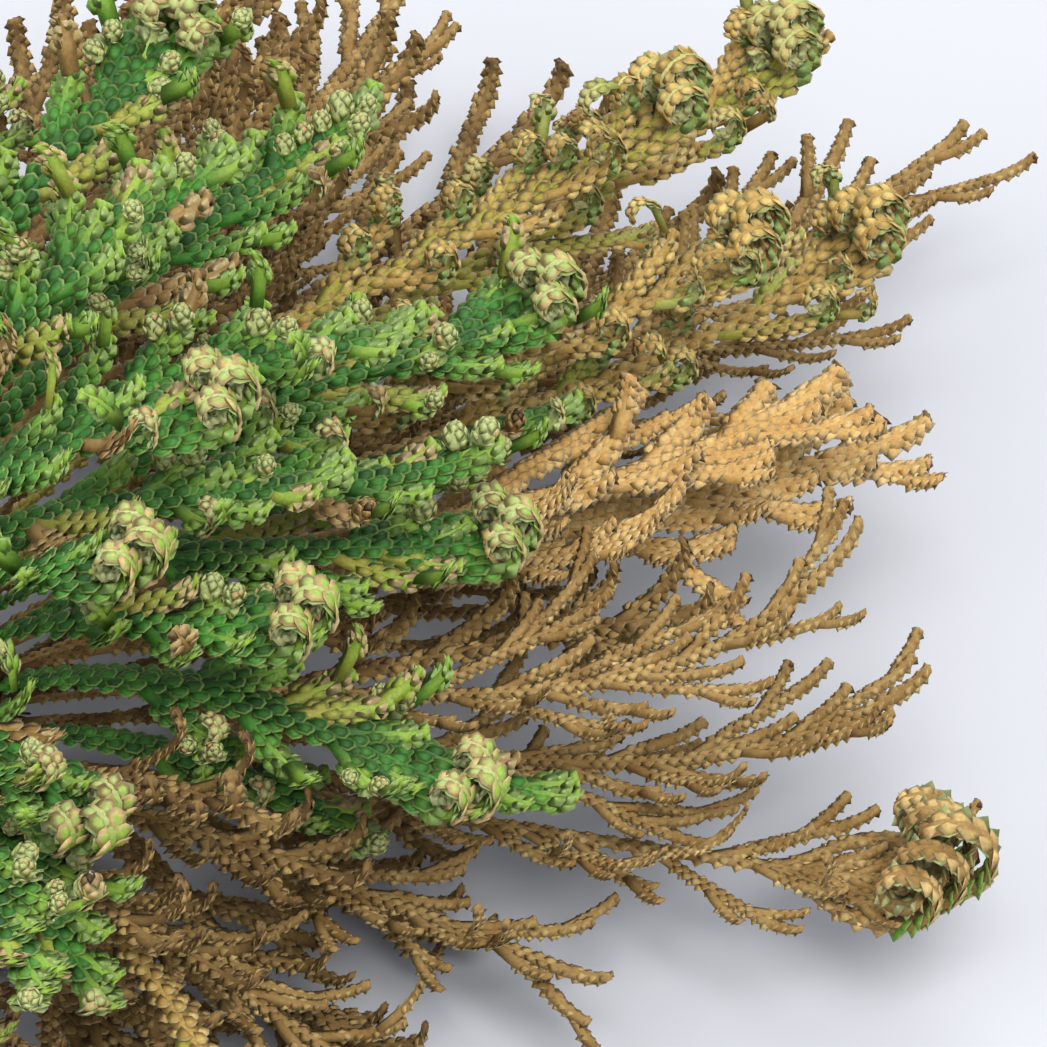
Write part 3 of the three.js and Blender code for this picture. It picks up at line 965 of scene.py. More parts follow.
@dataclass(frozen=True)
class Coat:
    """How one shoot is covered.

    pitch: spacing of the leaves in a row, in millimetres.
    back: how far before its curl the back has leaves too, in millimetres.
    begin: where the leaves start.
    loose: how unevenly they sit.
    lost: share of leaves that have fallen.
    open: how far they stand out from the shoot's line, as a share of the widest.
    round: how thick the stem is.
    taper: how much slimmer its end is.
    dry: how far the shoot has dried.
    inside: the same for the upper side of its curl.
    outside: the same for the back of its curl.
    tip: how pale and young its end is.
    """

    leaf: ScaleLeaf
    pitch: float
    back: float
    begin: float
    loose: float
    lost: float
    open: float
    round: float
    taper: float
    dry: float
    inside: float
    outside: float
    tip: float


def frames(shoot: Shoot, distances: Array) -> tuple[Array, Array, Array]:
    """Read a shoot at distances along it, run on straight past its ends.

    Args:
        shoot: the shoot.
        distances: distances from its start, in an array of any shape.

    Returns:
        The points, tangents and normals there.
    """
    lists = (shoot.points, shoot.tangents, shoot.normals)
    points, tangents, normals = (
        np.stack([np.interp(distances, shoot.runs, a[:, i]) for i in range(3)], -1) for a in lists
    )
    tangents = unit(tangents)
    past = np.maximum(distances - shoot.length, 0) + np.minimum(distances, 0)
    return points + tangents * past[..., None], tangents, squared(normals, tangents)


def youth_at(shoot: Shoot, distances: Array, tip: float) -> Array:
    """Return how young a shoot is along it: from 0 a little behind the curl to tip at its end."""
    young = shoot.length - shoot.straight + 3.2
    return np.clip(1 - (shoot.length - distances) / young, 0, 1) * tip


def cover(shoot: Shoot, coat: Coat, draw: np.random.Generator) -> Body:
    """Lay rows of leaves along a shoot, closer in its curl, where two more rows lie on its back.

    A leaf's corner lies at along and across in the leaf's own plane, turned outwards by the splay. That gives
    its distance along the shoot and to the side. Its height is the rank's rise, the tilt times along, and the
    leaf's own dome. The corner is then placed in the shoot's frame there, so a leaf bends with its shoot.

    Args:
        shoot: what to cover.
        coat: how its leaves stand.
        draw: the random draw.

    Returns:
        The leaves as one body.
    """
    corners, triangles = coat.leaf.corners()
    curl_length = max(shoot.length - shoot.straight, 0.1)
    turn_rate = shoot.curl / curl_length
    closer = 0.7 if turn_rate > 0.4 else 1.0
    rows = []
    for rank in RANKS:
        body = np.arange(coat.begin + rank.lag * coat.pitch, shoot.straight, coat.pitch)
        near = coat.pitch * (closer if rank.faces_down else 1.0)
        roll = np.arange(shoot.straight + rank.lag * near, shoot.length - 0.55 * coat.pitch, near)
        if rank.faces_down:
            body = body[body > shoot.straight - coat.back]
        at = np.concatenate([body, roll])
        at = at[draw.random(len(at)) >= coat.lost]
        traits = [rank.side, rank.root, rank.splay, rank.rise, rank.tilt, -1 if rank.faces_down else 1]
        rows.append(np.column_stack([at, np.tile(traits, (len(at), 1))]))
    at, side, root, splay, rise, tilt, face = np.concatenate(rows).T
    count = len(at)
    chance, turned, lifted, scaled = draw.random((4, count))
    chance = 0.65 * chance + 0.35 * (splay > 20)
    into = np.clip(1 - (shoot.length - at) / curl_length, 0, 1)
    width = np.interp(at, shoot.runs, shoot.widths) * (1 - coat.taper * into) * (0.94 + 0.12 * scaled)
    short = np.where(at > shoot.straight, 0.55 + 0.45 * closer, 1.0)
    calm = coat.loose * (1 - 0.7 * (at > shoot.straight))
    angle = side * face * np.radians(splay * coat.open * (1 - 0.6 * into) + calm * 11 * (turned - 0.5))
    tilt = tilt * (1 - 0.6 * into) + calm * 0.12 * (lifted - 0.5)
    a = corners[:, 0] * coat.leaf.length * (width * short)[:, None]
    b = corners[:, 1] * coat.leaf.breadth * width[:, None]
    cos, sin = np.cos(angle)[:, None], np.sin(angle)[:, None]
    along = np.minimum(at[:, None] + a * cos - b * sin, shoot.length + 0.12 * a)
    across = (side * root * width)[:, None] + face[:, None] * (a * sin + b * cos)
    height = rise[:, None] * coat.round + tilt[:, None] * corners[:, 0] + corners[:, 2]
    height = height * (width * face)[:, None]
    points, tangents, normals = frames(shoot, along)
    points = points + np.cross(normals, tangents) * across[..., None] + normals * height[..., None]
    triangles = (triangles[None] + np.arange(count)[:, None, None] * len(corners)).reshape(-1, 3)
    place = np.broadcast_to(corners[:, [3, 3, 0]] * [1, 0.5, 1], (count, len(corners), 3))
    dryness = np.where(at > shoot.straight - 1, np.where(face > 0, coat.inside, coat.outside), coat.dry)
    state = np.stack([youth_at(shoot, at, coat.tip), dryness, chance], 1)
    state = np.broadcast_to(state[:, None], place.shape)
    return Body(points.reshape(-1, 3), triangles, place.reshape(-1, 3), state.reshape(-1, 3))


def stem(shoot: Shoot, coat: Coat, spacing: float = 1.8) -> Body:
    """Make the flat stem under the leaves, which is fuller in the curl and thinner to its tip.

    Args:
        shoot: what the stem follows.
        coat: how the shoot is covered.
        spacing: distance between rings before the curl.

    Returns:
        The stem as one body.
    """
    bend = np.arange(0.0, max(shoot.straight - 0.3, 0.5), spacing)
    roll = np.linspace(shoot.straight, shoot.length, max(3, math.ceil((shoot.length - shoot.straight) / 0.6)))
    distances = np.concatenate([bend, roll])
    points, tangents, normals = frames(shoot, distances)
    full = np.concatenate([np.zeros(len(bend)), np.ones(len(roll))])
    widths = np.interp(distances, shoot.runs, shoot.widths)
    widths = widths * np.concatenate([np.ones(len(bend)), np.linspace(1, 1 - 1.2 * coat.taper, len(roll))])
    across = widths * (0.7 + 0.05 * full)
    up, down = widths * (0.22 + 0.12 * full) * coat.round, widths * (0.17 + 0.1 * full) * coat.round
    body = tube(points, normals, tangents, across, up, down)
    at = np.concatenate([np.repeat(distances, 4), [0.0, shoot.length]])
    # A chance of 0.2 gives the stem the darker greens and tans of the leaf finish. This is partly the stem's
    # own colour and partly painted shade in the gaps between its leaves.
    body.state[:] = np.column_stack([youth_at(shoot, at, coat.tip), at * 0 + coat.dry, at * 0 + 0.2])
    return body


def clad(leaf: ScaleLeaf, levels: Array, radii: Array, lift: float, draw: np.random.Generator) -> Body:
    """Cover an egg with overlapping scale leaves that point to its top.

    Leaf i has its root on a ball at its own level, turned by i times the golden angle. A corner lies in the
    direction of that root, moved towards the top by along and sideways by across. Its distance is 0.9, and
    rises by lift to the leaf's tip. The ball is then drawn out to the three radii.

    Args:
        leaf: the scale leaf, in radii of the ball.
        levels: the height of each root, from -1 to 1.
        radii: the egg's half width, half depth and half height.
        lift: how far the tips stand out.
        draw: the random draw.

    Returns:
        The leaves as one body round the origin.
    """
    corners, triangles = leaf.corners()
    count = len(levels)
    order = np.arange(count)
    around = order * math.radians(137.5) + draw.random() * 6
    flat = np.sqrt(1 - levels**2)
    roots = np.stack([flat * np.cos(around), flat * np.sin(around), levels], 1)
    aside = np.stack([np.sin(around), -np.cos(around), 0 * around], 1)
    towards = np.cross(aside, roots)
    a = (corners[:, 0] * leaf.length)[None, :, None]
    b = (corners[:, 1] * leaf.breadth)[None, :, None] * (0.75 + 0.25 * flat[:, None, None])
    ball = unit(roots[:, None] + towards[:, None] * a + aside[:, None] * b)
    distance = 0.9 + lift * corners[:, 0] + corners[:, 2] + 0.4 * lift * (draw.random((count, 1)) - 0.5)
    triangles = (triangles[None] + order[:, None, None] * len(corners)).reshape(-1, 3)
    shape = (count, len(corners), 3)
    place = np.broadcast_to(corners[:, [3, 3, 0]] * [1, 0.5, 1], shape).reshape(-1, 3)
    state = np.stack([0.62 + 0.38 * (levels + 1) / 2, np.zeros(count), draw.random(count)], 1)
    state = np.broadcast_to(state[:, None], shape).reshape(-1, 3)
    return Body((ball * distance[..., None] * radii).reshape(-1, 3), triangles, place, state)


BUD_LEAVES = 22
BUD_LEAF = ScaleLeaf(1.1, 1.15, POINTED_RIM, 0.035, 0.0)


def bud(at: Vector, axis: Vector, upper: Vector, size: float, dry: float, draw: np.random.Generator) -> Body:
    """Make a tightly closed branch tip: an egg clad in scale leaves, round a plain core.

    Args:
        at: the middle of its base, in millimetres.
        axis: the direction to its top.
        upper: the upper side of its shoot.
        size: half its width.
        dry: how far it has dried.
        draw: the random draw.

    Returns:
        The leaves and the core as one body.
    """
    levels = (2 * np.arange(BUD_LEAVES) + 1) / BUD_LEAVES - 1
    leaves = clad(BUD_LEAF, levels, np.array([1.0, 0.95, 1.2]) * size, 0.05, draw)
    upright = squared(upper[None], axis[None])[0]
    turned = np.stack([np.cross(upright, axis), upright, axis])
    leaves.points = at + axis * size * 0.9 + leaves.points @ turned
    heights = np.array([-1.0, -0.6, 0.2, 0.85, 1.1])
    across = np.array([0.32, 0.8, 0.93, 0.54, 0.12]) * size
    spine = at + axis * size * 0.9 + axis * (heights * size)[:, None]
    core = tube(spine, np.tile(upright, (5, 1)), np.tile(axis, (5, 1)), across, across, across)
    core.state[:] = [0.8, 0.0, 0.2]
    whole = joined([leaves, core])
    whole.state[:, 1] = dry
    return whole


def revolved(profile: Array, sides: int, lumps: float, phase: float) -> Body:
    """Turn a profile round the upright axis, and close both its ends with fans.

    A corner at an angle lies at radius times the cosine and sine of it, and radius is swelled by lumps times
    the mean of two waves round the axis.

    Args:
        profile: radius and height of each ring, from the lowest.
        sides: how many corners a ring has.
        lumps: how uneven it is.
        phase: where the waves begin.

    Returns:
        The closed body.
    """
    angle = np.arange(sides) / sides * 2 * math.pi
    swell = 1 + lumps * (np.sin(5 * angle + phase) + np.sin(8 * angle + 3 * phase)) / 2
    ring = np.stack([np.cos(angle) * swell, np.sin(angle) * swell], 1)
    heights = np.broadcast_to(profile[:, None, 1:], (len(profile), sides, 1))
    rings = np.concatenate([profile[:, None, :1] * ring, heights], 2)
    corner = np.arange(sides)
    after = (corner + 1) % sides
    start = np.arange(len(profile) - 1)[:, None] * sides
    low, low_after = (start + corner).ravel(), (start + after).ravel()
    faces = np.concatenate([np.stack([low, low_after, low + sides], 1),
                            np.stack([low_after, low_after + sides, low + sides], 1)])
    bottom, top, last = len(profile) * sides, len(profile) * sides + 1, (len(profile) - 1) * sides
    ends = np.concatenate([np.stack([corner * 0 + bottom, after, corner], 1),
                           np.stack([corner * 0 + top, corner + last, after + last], 1)])
    middles = np.array([[0, 0, profile[0, 1]], [0, 0, profile[-1, 1]]])
    return Body.of(np.concatenate([rings.reshape(-1, 3), middles]), np.concatenate([faces, ends]))


# ---- finishes -------------------------------------------------------------------------------------------
def linear(colour: str) -> tuple[float, float, float, float]:
    """Return an sRGB hex colour as linear red, green, blue and one."""
    parts = [int(colour[i:i + 2], 16) / 255 for i in (1, 3, 5)]
    return *(c / 12.92 if c <= 0.04045 else ((c + 0.055) / 1.055) ** 2.4 for c in parts), 1.0


class Palette:
    """A material's node tree while it is being put together."""

    def __init__(self, name: str) -> None:
        """Start an empty material.

        Args:
            name: its name.
        """
        self.material = bpy.data.materials.new(name)
        self.material.use_nodes = True
        self.tree = self.material.node_tree
        self.tree.nodes.clear()

    def add(self, kind: str, links: "dict | None" = None, values: "dict | None" = None,
            **settings: object) -> bpy.types.Node:
        """Add a node.

        Args:
            kind: the node's type.
            links: outputs of other nodes, by the input that each goes to.
            values: values of unlinked inputs.
            settings: the node's own settings.

        Returns:
            The node.
        """
        node = self.tree.nodes.new(kind)
        for key, value in settings.items():
            setattr(node, key, value)
        for key, value in (values or {}).items():
            node.inputs[key].default_value = value
        for key, output in (links or {}).items():
            self.tree.links.new(output, node.inputs[key])
        return node

    def blend(self, factor: object, first: object, second: object, mode: str = "MIX") -> object:
        """Mix two colours.

        Args:
            factor: an output or a number, 0 for the first colour and 1 for the second.
            first: an output or a hex colour.
            second: the same.
            mode: how they are blended.

        Returns:
            The output with the colour.
        """
        node = self.add("ShaderNodeMix", data_type="RGBA", blend_type=mode)
        for socket, given in ((0, factor), (6, first), (7, second)):
            if isinstance(given, str):
                node.inputs[socket].default_value = linear(given)
            elif isinstance(given, (int, float)):
                node.inputs[socket].default_value = given
            else:
                self.tree.links.new(given, node.inputs[socket])
        return node.outputs[2]

    def step(self, value: object, low: float, high: float) -> object:
        """Turn a value into a smooth step from 0 at low to 1 at high.

        Args:
            value: an output.
            low: where the step begins.
            high: where it ends.

        Returns:
            The output with the step.
        """
        node = self.add("ShaderNodeMapRange", {"Value": value}, {"From Min": low, "From Max": high},
                        interpolation_type="SMOOTHSTEP")
        return node.outputs["Result"]

    def math(self, operation: str, *given: object) -> object:
        """Work out a value from others.

        Args:
            operation: what is done with them.
            given: outputs or numbers.

        Returns:
            The output with the result.
        """
        node = self.add("ShaderNodeMath", operation=operation)
        for socket, value in enumerate(given):
            if isinstance(value, (int, float)):
                node.inputs[socket].default_value = value
            else:
                self.tree.links.new(value, node.inputs[socket])
        return node.outputs[0]

    def parts_of(self, attribute: str) -> "list[object]":
        """Return the three parts of one of the piece's own attributes."""
        whole = self.add("ShaderNodeAttribute", attribute_name=attribute).outputs["Vector"]
        return list(self.add("ShaderNodeSeparateXYZ", {0: whole}).outputs)

    def noise(self, size_mm: float, detail: float = 2.0, stretch: "tuple | None" = None) -> object:
        """Draw noise on the piece's own coordinates.

        Args:
            size_mm: how large its blotches are.
            detail: how many finer layers it has.
            stretch: how much closer it is along x, y and z, if uneven.

        Returns:
            The output with the noise.
        """
        place = self.add("ShaderNodeTexCoord").outputs["Object"]
        if stretch:
            place = self.add("ShaderNodeMapping", {"Vector": place}, {"Scale": stretch}).outputs[0]
        values = {"Scale": 1 / (size_mm * MM), "Detail": detail}
        return self.add("ShaderNodeTexNoise", {"Vector": place}, values).outputs["Fac"]

    def finish(self, colour: object, roughness: float, bump: object = None,
               depth_mm: float = 0.0) -> bpy.types.Material:
        """Close the tree with one surface.

        Args:
            colour: the output with its colour.
            roughness: how rough it is.
            bump: the output with its fine relief.
            depth_mm: how deep that is.

        Returns:
            The material.
        """
        links = {"Base Color": colour}
        if bump is not None:
            depth = {"Distance": depth_mm * MM, "Strength": 1.0}
            links["Normal"] = self.add("ShaderNodeBump", {"Height": bump}, depth).outputs[0]
        values = {"Roughness": roughness, "Specular IOR Level": 0.35}
        surface = self.add("ShaderNodeBsdfPrincipled", links, values)
        self.add("ShaderNodeOutputMaterial", {"Surface": surface.outputs[0]})
        return self.material


@dataclass(frozen=True)
class LeafFinish:
    """Spikemoss scale leaf: a cuticle over green cells, with a thin pale margin of empty ones.

    The margins give the eye a pale net over the dark leaves. A dry leaf is matt and papery, and a curled
    young one pale, with rust-coloured flecks on its back.
    """

    name: str
    deep: str = "#1f4c18"
    fresh: str = "#4a8e30"
    bright: str = "#98bb44"
    yellowed: str = "#a9a444"
    bead: str = "#bfc97e"
    bead_margin: str = "#d6dc9e"
    margin: str = "#a9c970"
    dry_dark: str = "#997640"
    dry_light: str = "#e6c582"
    dry_margin: str = "#e4cd94"
    dry_tip: str = "#4a3424"
    rust: str = "#d29a66"
    dry_back: float = 0.12
    roughness: float = 0.55

    def make(self) -> bpy.types.Material:
        """Build the material from the leaves' own attributes.

        Returns:
            The material.
        """
        tree = Palette(self.name)
        rim, under = tree.parts_of("leaf_place")[:2]
        youth, dryness, chance = tree.parts_of("leaf_state")
        cells = tree.noise(0.22, 0.0)
        blotches = tree.noise(2.4, 0.0)
        living = tree.blend(chance, self.deep, self.fresh)
        living = tree.blend(tree.step(blotches, 0.4, 0.75), living, self.fresh)
        living = tree.blend(tree.step(dryness, 0.1, 0.45), living, self.yellowed)
        living = tree.blend(tree.step(youth, 0.0, 0.40), living, self.bright)
        living = tree.blend(tree.step(youth, 0.42, 0.66), living, self.bead)
        margin = tree.blend(tree.step(youth, 0.2, 0.6), self.margin, self.bead_margin)
        living = tree.blend(tree.math("MULTIPLY", tree.step(rim, 0.66, 0.92), 0.85), living, margin)
        flecks = tree.math("MULTIPLY", tree.step(chance, 0.76, 0.9), tree.step(youth, 0.55, 0.8))
        flecks = tree.math("MULTIPLY", flecks, tree.step(cells, 0.42, 0.6))
        living = tree.blend(flecks, living, self.rust)
        dried = tree.blend(chance, self.dry_dark, self.dry_light)
        dried = tree.blend(tree.step(blotches, 0.45, 0.7), dried, self.dry_dark)
        dried = tree.blend(tree.math("MULTIPLY", tree.step(rim, 0.6, 0.95), 0.7), dried, self.dry_margin)
        tipped = tree.math("MULTIPLY", tree.step(youth, 0.7, 0.95), tree.step(chance, 0.2, 0.6))
        dried = tree.blend(tipped, dried, self.dry_tip)
        edge = tree.math("MULTIPLY_ADD", rim, 0.35, tree.math("MULTIPLY_ADD", chance, 0.2, -0.28))
        back = tree.math("MULTIPLY", tree.step(under, 0.46, 0.5), self.dry_back)
        wilt = tree.math("ADD", tree.math("ADD", dryness, edge), back)
        colour = tree.blend(tree.step(wilt, 0.42, 0.62), living, dried)
        grain = tree.blend(1.0, colour, tree.blend(cells, "#cccccc", "#ffffff"), "MULTIPLY")
        return tree.finish(grain, self.roughness)


@dataclass(frozen=True)
class FibreFinish:
    """Dry stalks, leaf bases and roots: dead wood-like fibre, matt and streaked, with darker hollows."""

    name: str
    dark: str
    light: str
    streak_mm: float = 0.35

    def make(self) -> bpy.types.Material:
        """Build the material from streaks and blotches.

        Returns:
            The material.
        """
        tree = Palette(self.name)
        streaks = tree.noise(self.streak_mm, 4.0, (1.0, 1.0, 0.35))
        blotches = tree.noise(3.0, 3.0)
        colour = tree.blend(tree.step(streaks, 0.3, 0.7), self.dark, self.light)
        colour = tree.blend(tree.math("MULTIPLY", tree.step(blotches, 0.45, 0.7), 0.6), colour, self.dark)
        return tree.finish(colour, 0.85, tree.math("ADD", streaks, blotches), 0.12)


LIVING = LeafFinish("living spikemoss leaf")
DRY = LeafFinish("dry spikemoss leaf", roughness=0.85)
SUN_DRIED = LeafFinish("sun-dried spikemoss leaf", dry_dark="#d4a660", dry_light="#f9d690",
                       dry_margin="#fbe4b4", roughness=0.85)
OLD = LeafFinish("old spikemoss leaf", dry_dark="#7c5f34", dry_light="#cfab68", dry_margin="#d8bb80",
                 roughness=0.9)
HALF_DRY = LeafFinish("half-dry spikemoss leaf", deep="#2f5426", fresh="#62803a", bright="#a8b05a",
                      bead="#ccc982", dry_dark="#b08c46", dry_light="#ecca78", dry_margin="#f0da98",
                      dry_tip="#8f6342", roughness=0.75)
LEAF_BASE = FibreFinish("old leaf bases", "#3c2815", "#7c5c34")
ROOT = FibreFinish("dry wiry roots", "#24170e", "#6b4a2c", 0.25)


# ---- the plant's pieces ---------------------------------------------------------------------------------
class Tip(Enum):
    """How a shoot ends."""

    ROLL = "rolled up"
    BUD = "closed buds"
    PLAIN = "flat and blunt"


@dataclass(frozen=True)
class Dressing:
    """How a frond is dressed. Pitch and slim are in half widths of its form.

    loose is how unevenly leaves sit, lost the share that has fallen, open how far they stand out, round how
    thick the stem is, taper how much slimmer its end is, and back how far before a curl its back has leaves.
    dry is how far the frond has dried, inside and outside the same for the two sides of a curl, dead and
    fading the shares of shoots that have dried or are drying, and uneven how far shoots differ. heads is the
    share of axes that roll up, beads the share of other shoots, and buds the share of the rest that end in
    closed buds. head, bead and end are a tip's curl in degrees and millimetres. companions is how many shoots
    run beside a rolled axis on each side, apart half widths from each other, and band how much wider the
    rolled ends are.
    """

    finish: LeafFinish
    leaf: ScaleLeaf
    pitch: float
    slim: float
    loose: float = 0.7
    lost: float = 0.0
    open: float = 1.0
    round: float = 1.0
    taper: float = 0.4
    back: float = 3.0
    dry: float = 0.0
    uneven: float = 0.0
    inside: float = 0.0
    outside: float = 0.0
    dead: float = 0.0
    fading: float = 0.0
    heads: float = 0.0
    beads: float = 0.0
    buds: float = 0.0
    head: tuple = (420, 7.0)
    bead: tuple = (330, 4.2)
    end: tuple = (40, 2.4)
    companions: int = 0
    apart: float = 1.75
    band: float = 1.0


GREEN_DRESS = Dressing(LIVING, ROUND_LEAF, 0.86, 0.8, loose=0.45, outside=0.46, dead=0.04, fading=0.2,
                       heads=0.5, beads=0.08, buds=0.22, head=(430, 10.0), companions=1, apart=1.6, band=1.3,
                       back=5.5)
TAN_DRESS = Dressing(DRY, SMALL_LEAF, 0.8, 0.7, loose=1.2, lost=0.05, open=0.6, round=1.5, taper=0.12,
                     back=0.0, dry=1.0, inside=1.0, end=(35, 3.5))
CURLED_DRESS = replace(TAN_DRESS, inside=0.0, heads=1.0, head=(420, 19.0), companions=2, apart=2.3, band=1.9,
                       round=1.0)
BLADE_DRESS = replace(TAN_DRESS, finish=SUN_DRIED, slim=1.1, loose=0.8, open=0.8, round=1.0)
OLD_DRESS = replace(TAN_DRESS, finish=OLD, pitch=0.95, slim=0.85, loose=2.4, lost=0.08, open=0.9, round=1.2,
                    end=(80, 4.0))
ROLLED_DRESS = Dressing(HALF_DRY, ROUND_LEAF, 0.86, 0.68, loose=0.6, dry=0.72, uneven=0.35, inside=0.1,
                        heads=1.0, beads=0.8, buds=0.15, head=(470, 14.0), bead=(420, 9.0), companions=1,
                        apart=1.7, band=1.4)


def dressing_of(place: Seat) -> Dressing:
    """Choose a frond's dressing by its kind, and by its curl and side if it is a tan one.

    Args:
        place: the frond's seat.

    Returns:
        The dressing.
    """
    if place.habit is Habit.GREEN:
        return GREEN_DRESS
    if place.habit is Habit.ROLLED:
        return ROLLED_DRESS
    if place.form.curl_length > 15:
        return CURLED_DRESS
    return BLADE_DRESS if 15 < place.azimuth < 25 else TAN_DRESS


@dataclass
class Dresser:
    """Turns a grown frond into its dressed shoots and their bodies."""

    frond: Frond
    number: int
    dressing: Dressing
    lag: float = 1.1
    shared: float = 8.0

    def __post_init__(self) -> None:
        """Start the frond's draw."""
        self.draw = np.random.default_rng(100 + self.number)

    def bodies(self) -> "list[Body]":
        """Dress all the frond's shoots.

        Returns:
            Their stems and leaves, with their buds and companions.
        """
        found = []
        for i, shoot in enumerate(self.frond.shoots):
            tip, dry = self.tip_of(i), self.dryness(i)
            found += self.covered(self.ended(shoot, tip), tip, dry)
            if tip is Tip.BUD:
                found += self.budded(shoot, i, dry)
        if self.tip_of(0) is Tip.ROLL:
            for side, rank in itertools.product((1, -1), range(1, self.dressing.companions + 1)):
                strand = self.companion(self.frond.axis, side, rank)
                found += self.covered(strand, Tip.ROLL, self.dryness(0))
        return found

    def tip_of(self, i: int) -> Tip:
        """Choose how a shoot ends.

        Args:
            i: its place in the frond, 0 for the axis.

        Returns:
            The kind of tip.
        """
        plan, chance = self.dressing, (wobble(self.number + 2, i * 5 + 1) + 1) / 2
        rolls = plan.beads if i else plan.heads
        if chance < rolls:
            return Tip.ROLL
        return Tip.BUD if (chance - rolls) < plan.buds * (1 - rolls) else Tip.PLAIN

    def dryness(self, i: int) -> float:
        """Choose how far a shoot has dried.

        Args:
            i: its place in the frond, 0 for the axis.

        Returns:
            Its dryness, from about 0 to 1.
        """
        plan, fate = self.dressing, (wobble(self.number, i * 3 + 5) + 1) / 2
        if i and fate < plan.dead:
            return 1.0
        if i and fate < plan.dead + plan.fading:
            return 0.4 + 0.6 * plan.dry
        return plan.dry + plan.uneven * wobble(self.number + 5, i * 2 + 3)

    def ended(self, shoot: Shoot, tip: Tip) -> Shoot:
        """Give a shoot its end.

        Args:
            shoot: the shoot as grown.
            tip: the kind of tip.

        Returns:
            The shoot with that end.
        """
        plan = self.dressing
        if tip is Tip.ROLL:
            degrees, length = plan.head if shoot.parent is None else plan.bead
            rolled = self.rolled(shoot, shoot.straight, degrees, min(length, 0.7 * shoot.length))
            return rolled if shoot.parent else self.banded(rolled)
        return self.rolled(shoot, shoot.straight, *((20, 1.2) if tip is Tip.BUD else plan.end))

    def banded(self, shoot: Shoot) -> Shoot:
        """Return a rolled shoot that widens by a smooth step, over the seven millimetres before its roll."""
        wider = (self.dressing.band - 1) * smooth((shoot.runs - shoot.straight + 7) / 7)
        return replace(shoot, widths=shoot.widths * (1 + wider))

    @staticmethod
    def rolled(shoot: Shoot, cut: float, degrees: float, length: float) -> Shoot:
        """Cut a shoot off and let it grow on from there in a roll.

        Args:
            shoot: the shoot.
            cut: where it is cut, from its start.
            degrees: how far the roll turns.
            length: how long the roll is.

        Returns:
            The new shoot.
        """
        keep = shoot.runs < cut - 0.2
        p, t, n = shoot.at(cut)
        width = float(np.interp(cut, shoot.runs, shoot.widths))
        tip = grow(p, t, n, Shape(length, 0, 0, degrees, length, width))
        lists = ((shoot.points, tip.points), (shoot.runs, tip.runs + cut), (shoot.tangents, tip.tangents),
                 (shoot.normals, tip.normals), (shoot.widths, tip.widths))
        whole = [np.concatenate([mine[keep], its]) for mine, its in lists]
        return Shoot(*whole, cut, tip.curl, shoot.parent, shoot.start, shoot.side)

    def companion(self, axis: Shoot, side: int, rank: int) -> Shoot:
        """Grow a shoot that leaves the axis near its end, runs beside it and rolls up beside its roll.

        Its distance from the axis rises to rank times apart widths, by a smooth step over most of its run.

        Args:
            axis: the frond's axis.
            side: 1 for its left, -1 for its right.
            rank: 1 for the nearest companion on that side.

        Returns:
            The companion.
        """
        end = axis.straight - self.lag * rank
        begin = max(end - self.shared - rank, 0.4 * axis.straight)
        at = np.arange(begin, end + 0.5, STEP)
        points, tangents, normals = frames(axis, at)
        share = smooth((at - begin) / (0.7 * (end - begin)))
        beside = share * rank * self.dressing.apart * axis.widths[-1] * self.dressing.slim * side
        points = points + np.cross(normals, tangents) * beside[:, None]
        tangents = unit(np.gradient(points, axis=0))
        runs = np.concatenate([[0.0], np.cumsum(np.sqrt((np.diff(points, axis=0) ** 2).sum(1)))])
        widths = np.full(len(at), axis.widths[-1] * 0.9)
        normals, whole = squared(normals, tangents), float(runs[-1])
        strand = Shoot(points, runs, tangents, normals, widths, whole, 0.0, axis, begin, side)
        degrees, length = self.dressing.head
        return self.banded(self.rolled(strand, whole - 0.3, degrees, length * (1 - 0.12 * rank)))

    def budded(self, shoot: Shoot, i: int, dry: float) -> "list[Body]":
        """Set buds at a shoot's end, with a row of them down one edge of a long one.

        Args:
            shoot: the shoot.
            i: its place in the frond.
            dry: how far it has dried.

        Returns:
            The buds.
        """
        width = float(shoot.widths[-1]) * self.dressing.slim
        side = shoot.side or (1 if self.number % 2 else -1)
        count = 1 + i % 2 if shoot.straight < 7 else 3 + (self.number + i) % 3
        buds = []
        for j in range(count):
            p, t, n = shoot.at(shoot.straight + 0.7 - 1.7 * j)
            left = np.cross(n, t) * side * (j > 0)
            chance, dried = self.draw.random(2)
            size = width * (0.86 - 0.06 * j) * (0.8 + 0.4 * chance)
            lean = unit(t * 0.6 + n * 0.8 + left * 0.5)
            buds.append(bud(p + left * 0.75 * width, lean, n, size, dry + 0.35 * (dried > 0.8), self.draw))
        return buds

    def covered(self, shoot: Shoot, tip: Tip, dry: float) -> "list[Body]":
        """Make a shoot's stem and leaves.

        Args:
            shoot: the shoot, with its end.
            tip: the kind of tip.
            dry: how far it has dried.

        Returns:
            The two bodies.
        """
        plan = self.dressing
        shoot = replace(shoot, widths=shoot.widths * plan.slim)
        begin = 1.0 if shoot.parent is None else min(1.5, 0.3 * shoot.length)
        youth = {Tip.ROLL: 1.0, Tip.BUD: 0.6, Tip.PLAIN: 0.42 if dry < 0.9 else 1.0}[tip]
        inside = min(plan.inside, dry) if plan.dry < 1 else plan.inside
        pitch = plan.pitch * (0.35 * self.frond.seat.form.width + 0.65 * float(shoot.widths[-1]) / plan.slim)
        curled = (inside, max(dry, plan.outside)) if tip is Tip.ROLL else (dry, dry)
        coat = Coat(plan.leaf, pitch, plan.back, begin, plan.loose, plan.lost, plan.open, plan.round,
                    plan.taper, dry, *curled, youth)
        return [stem(shoot, coat), cover(shoot, coat, self.draw)]


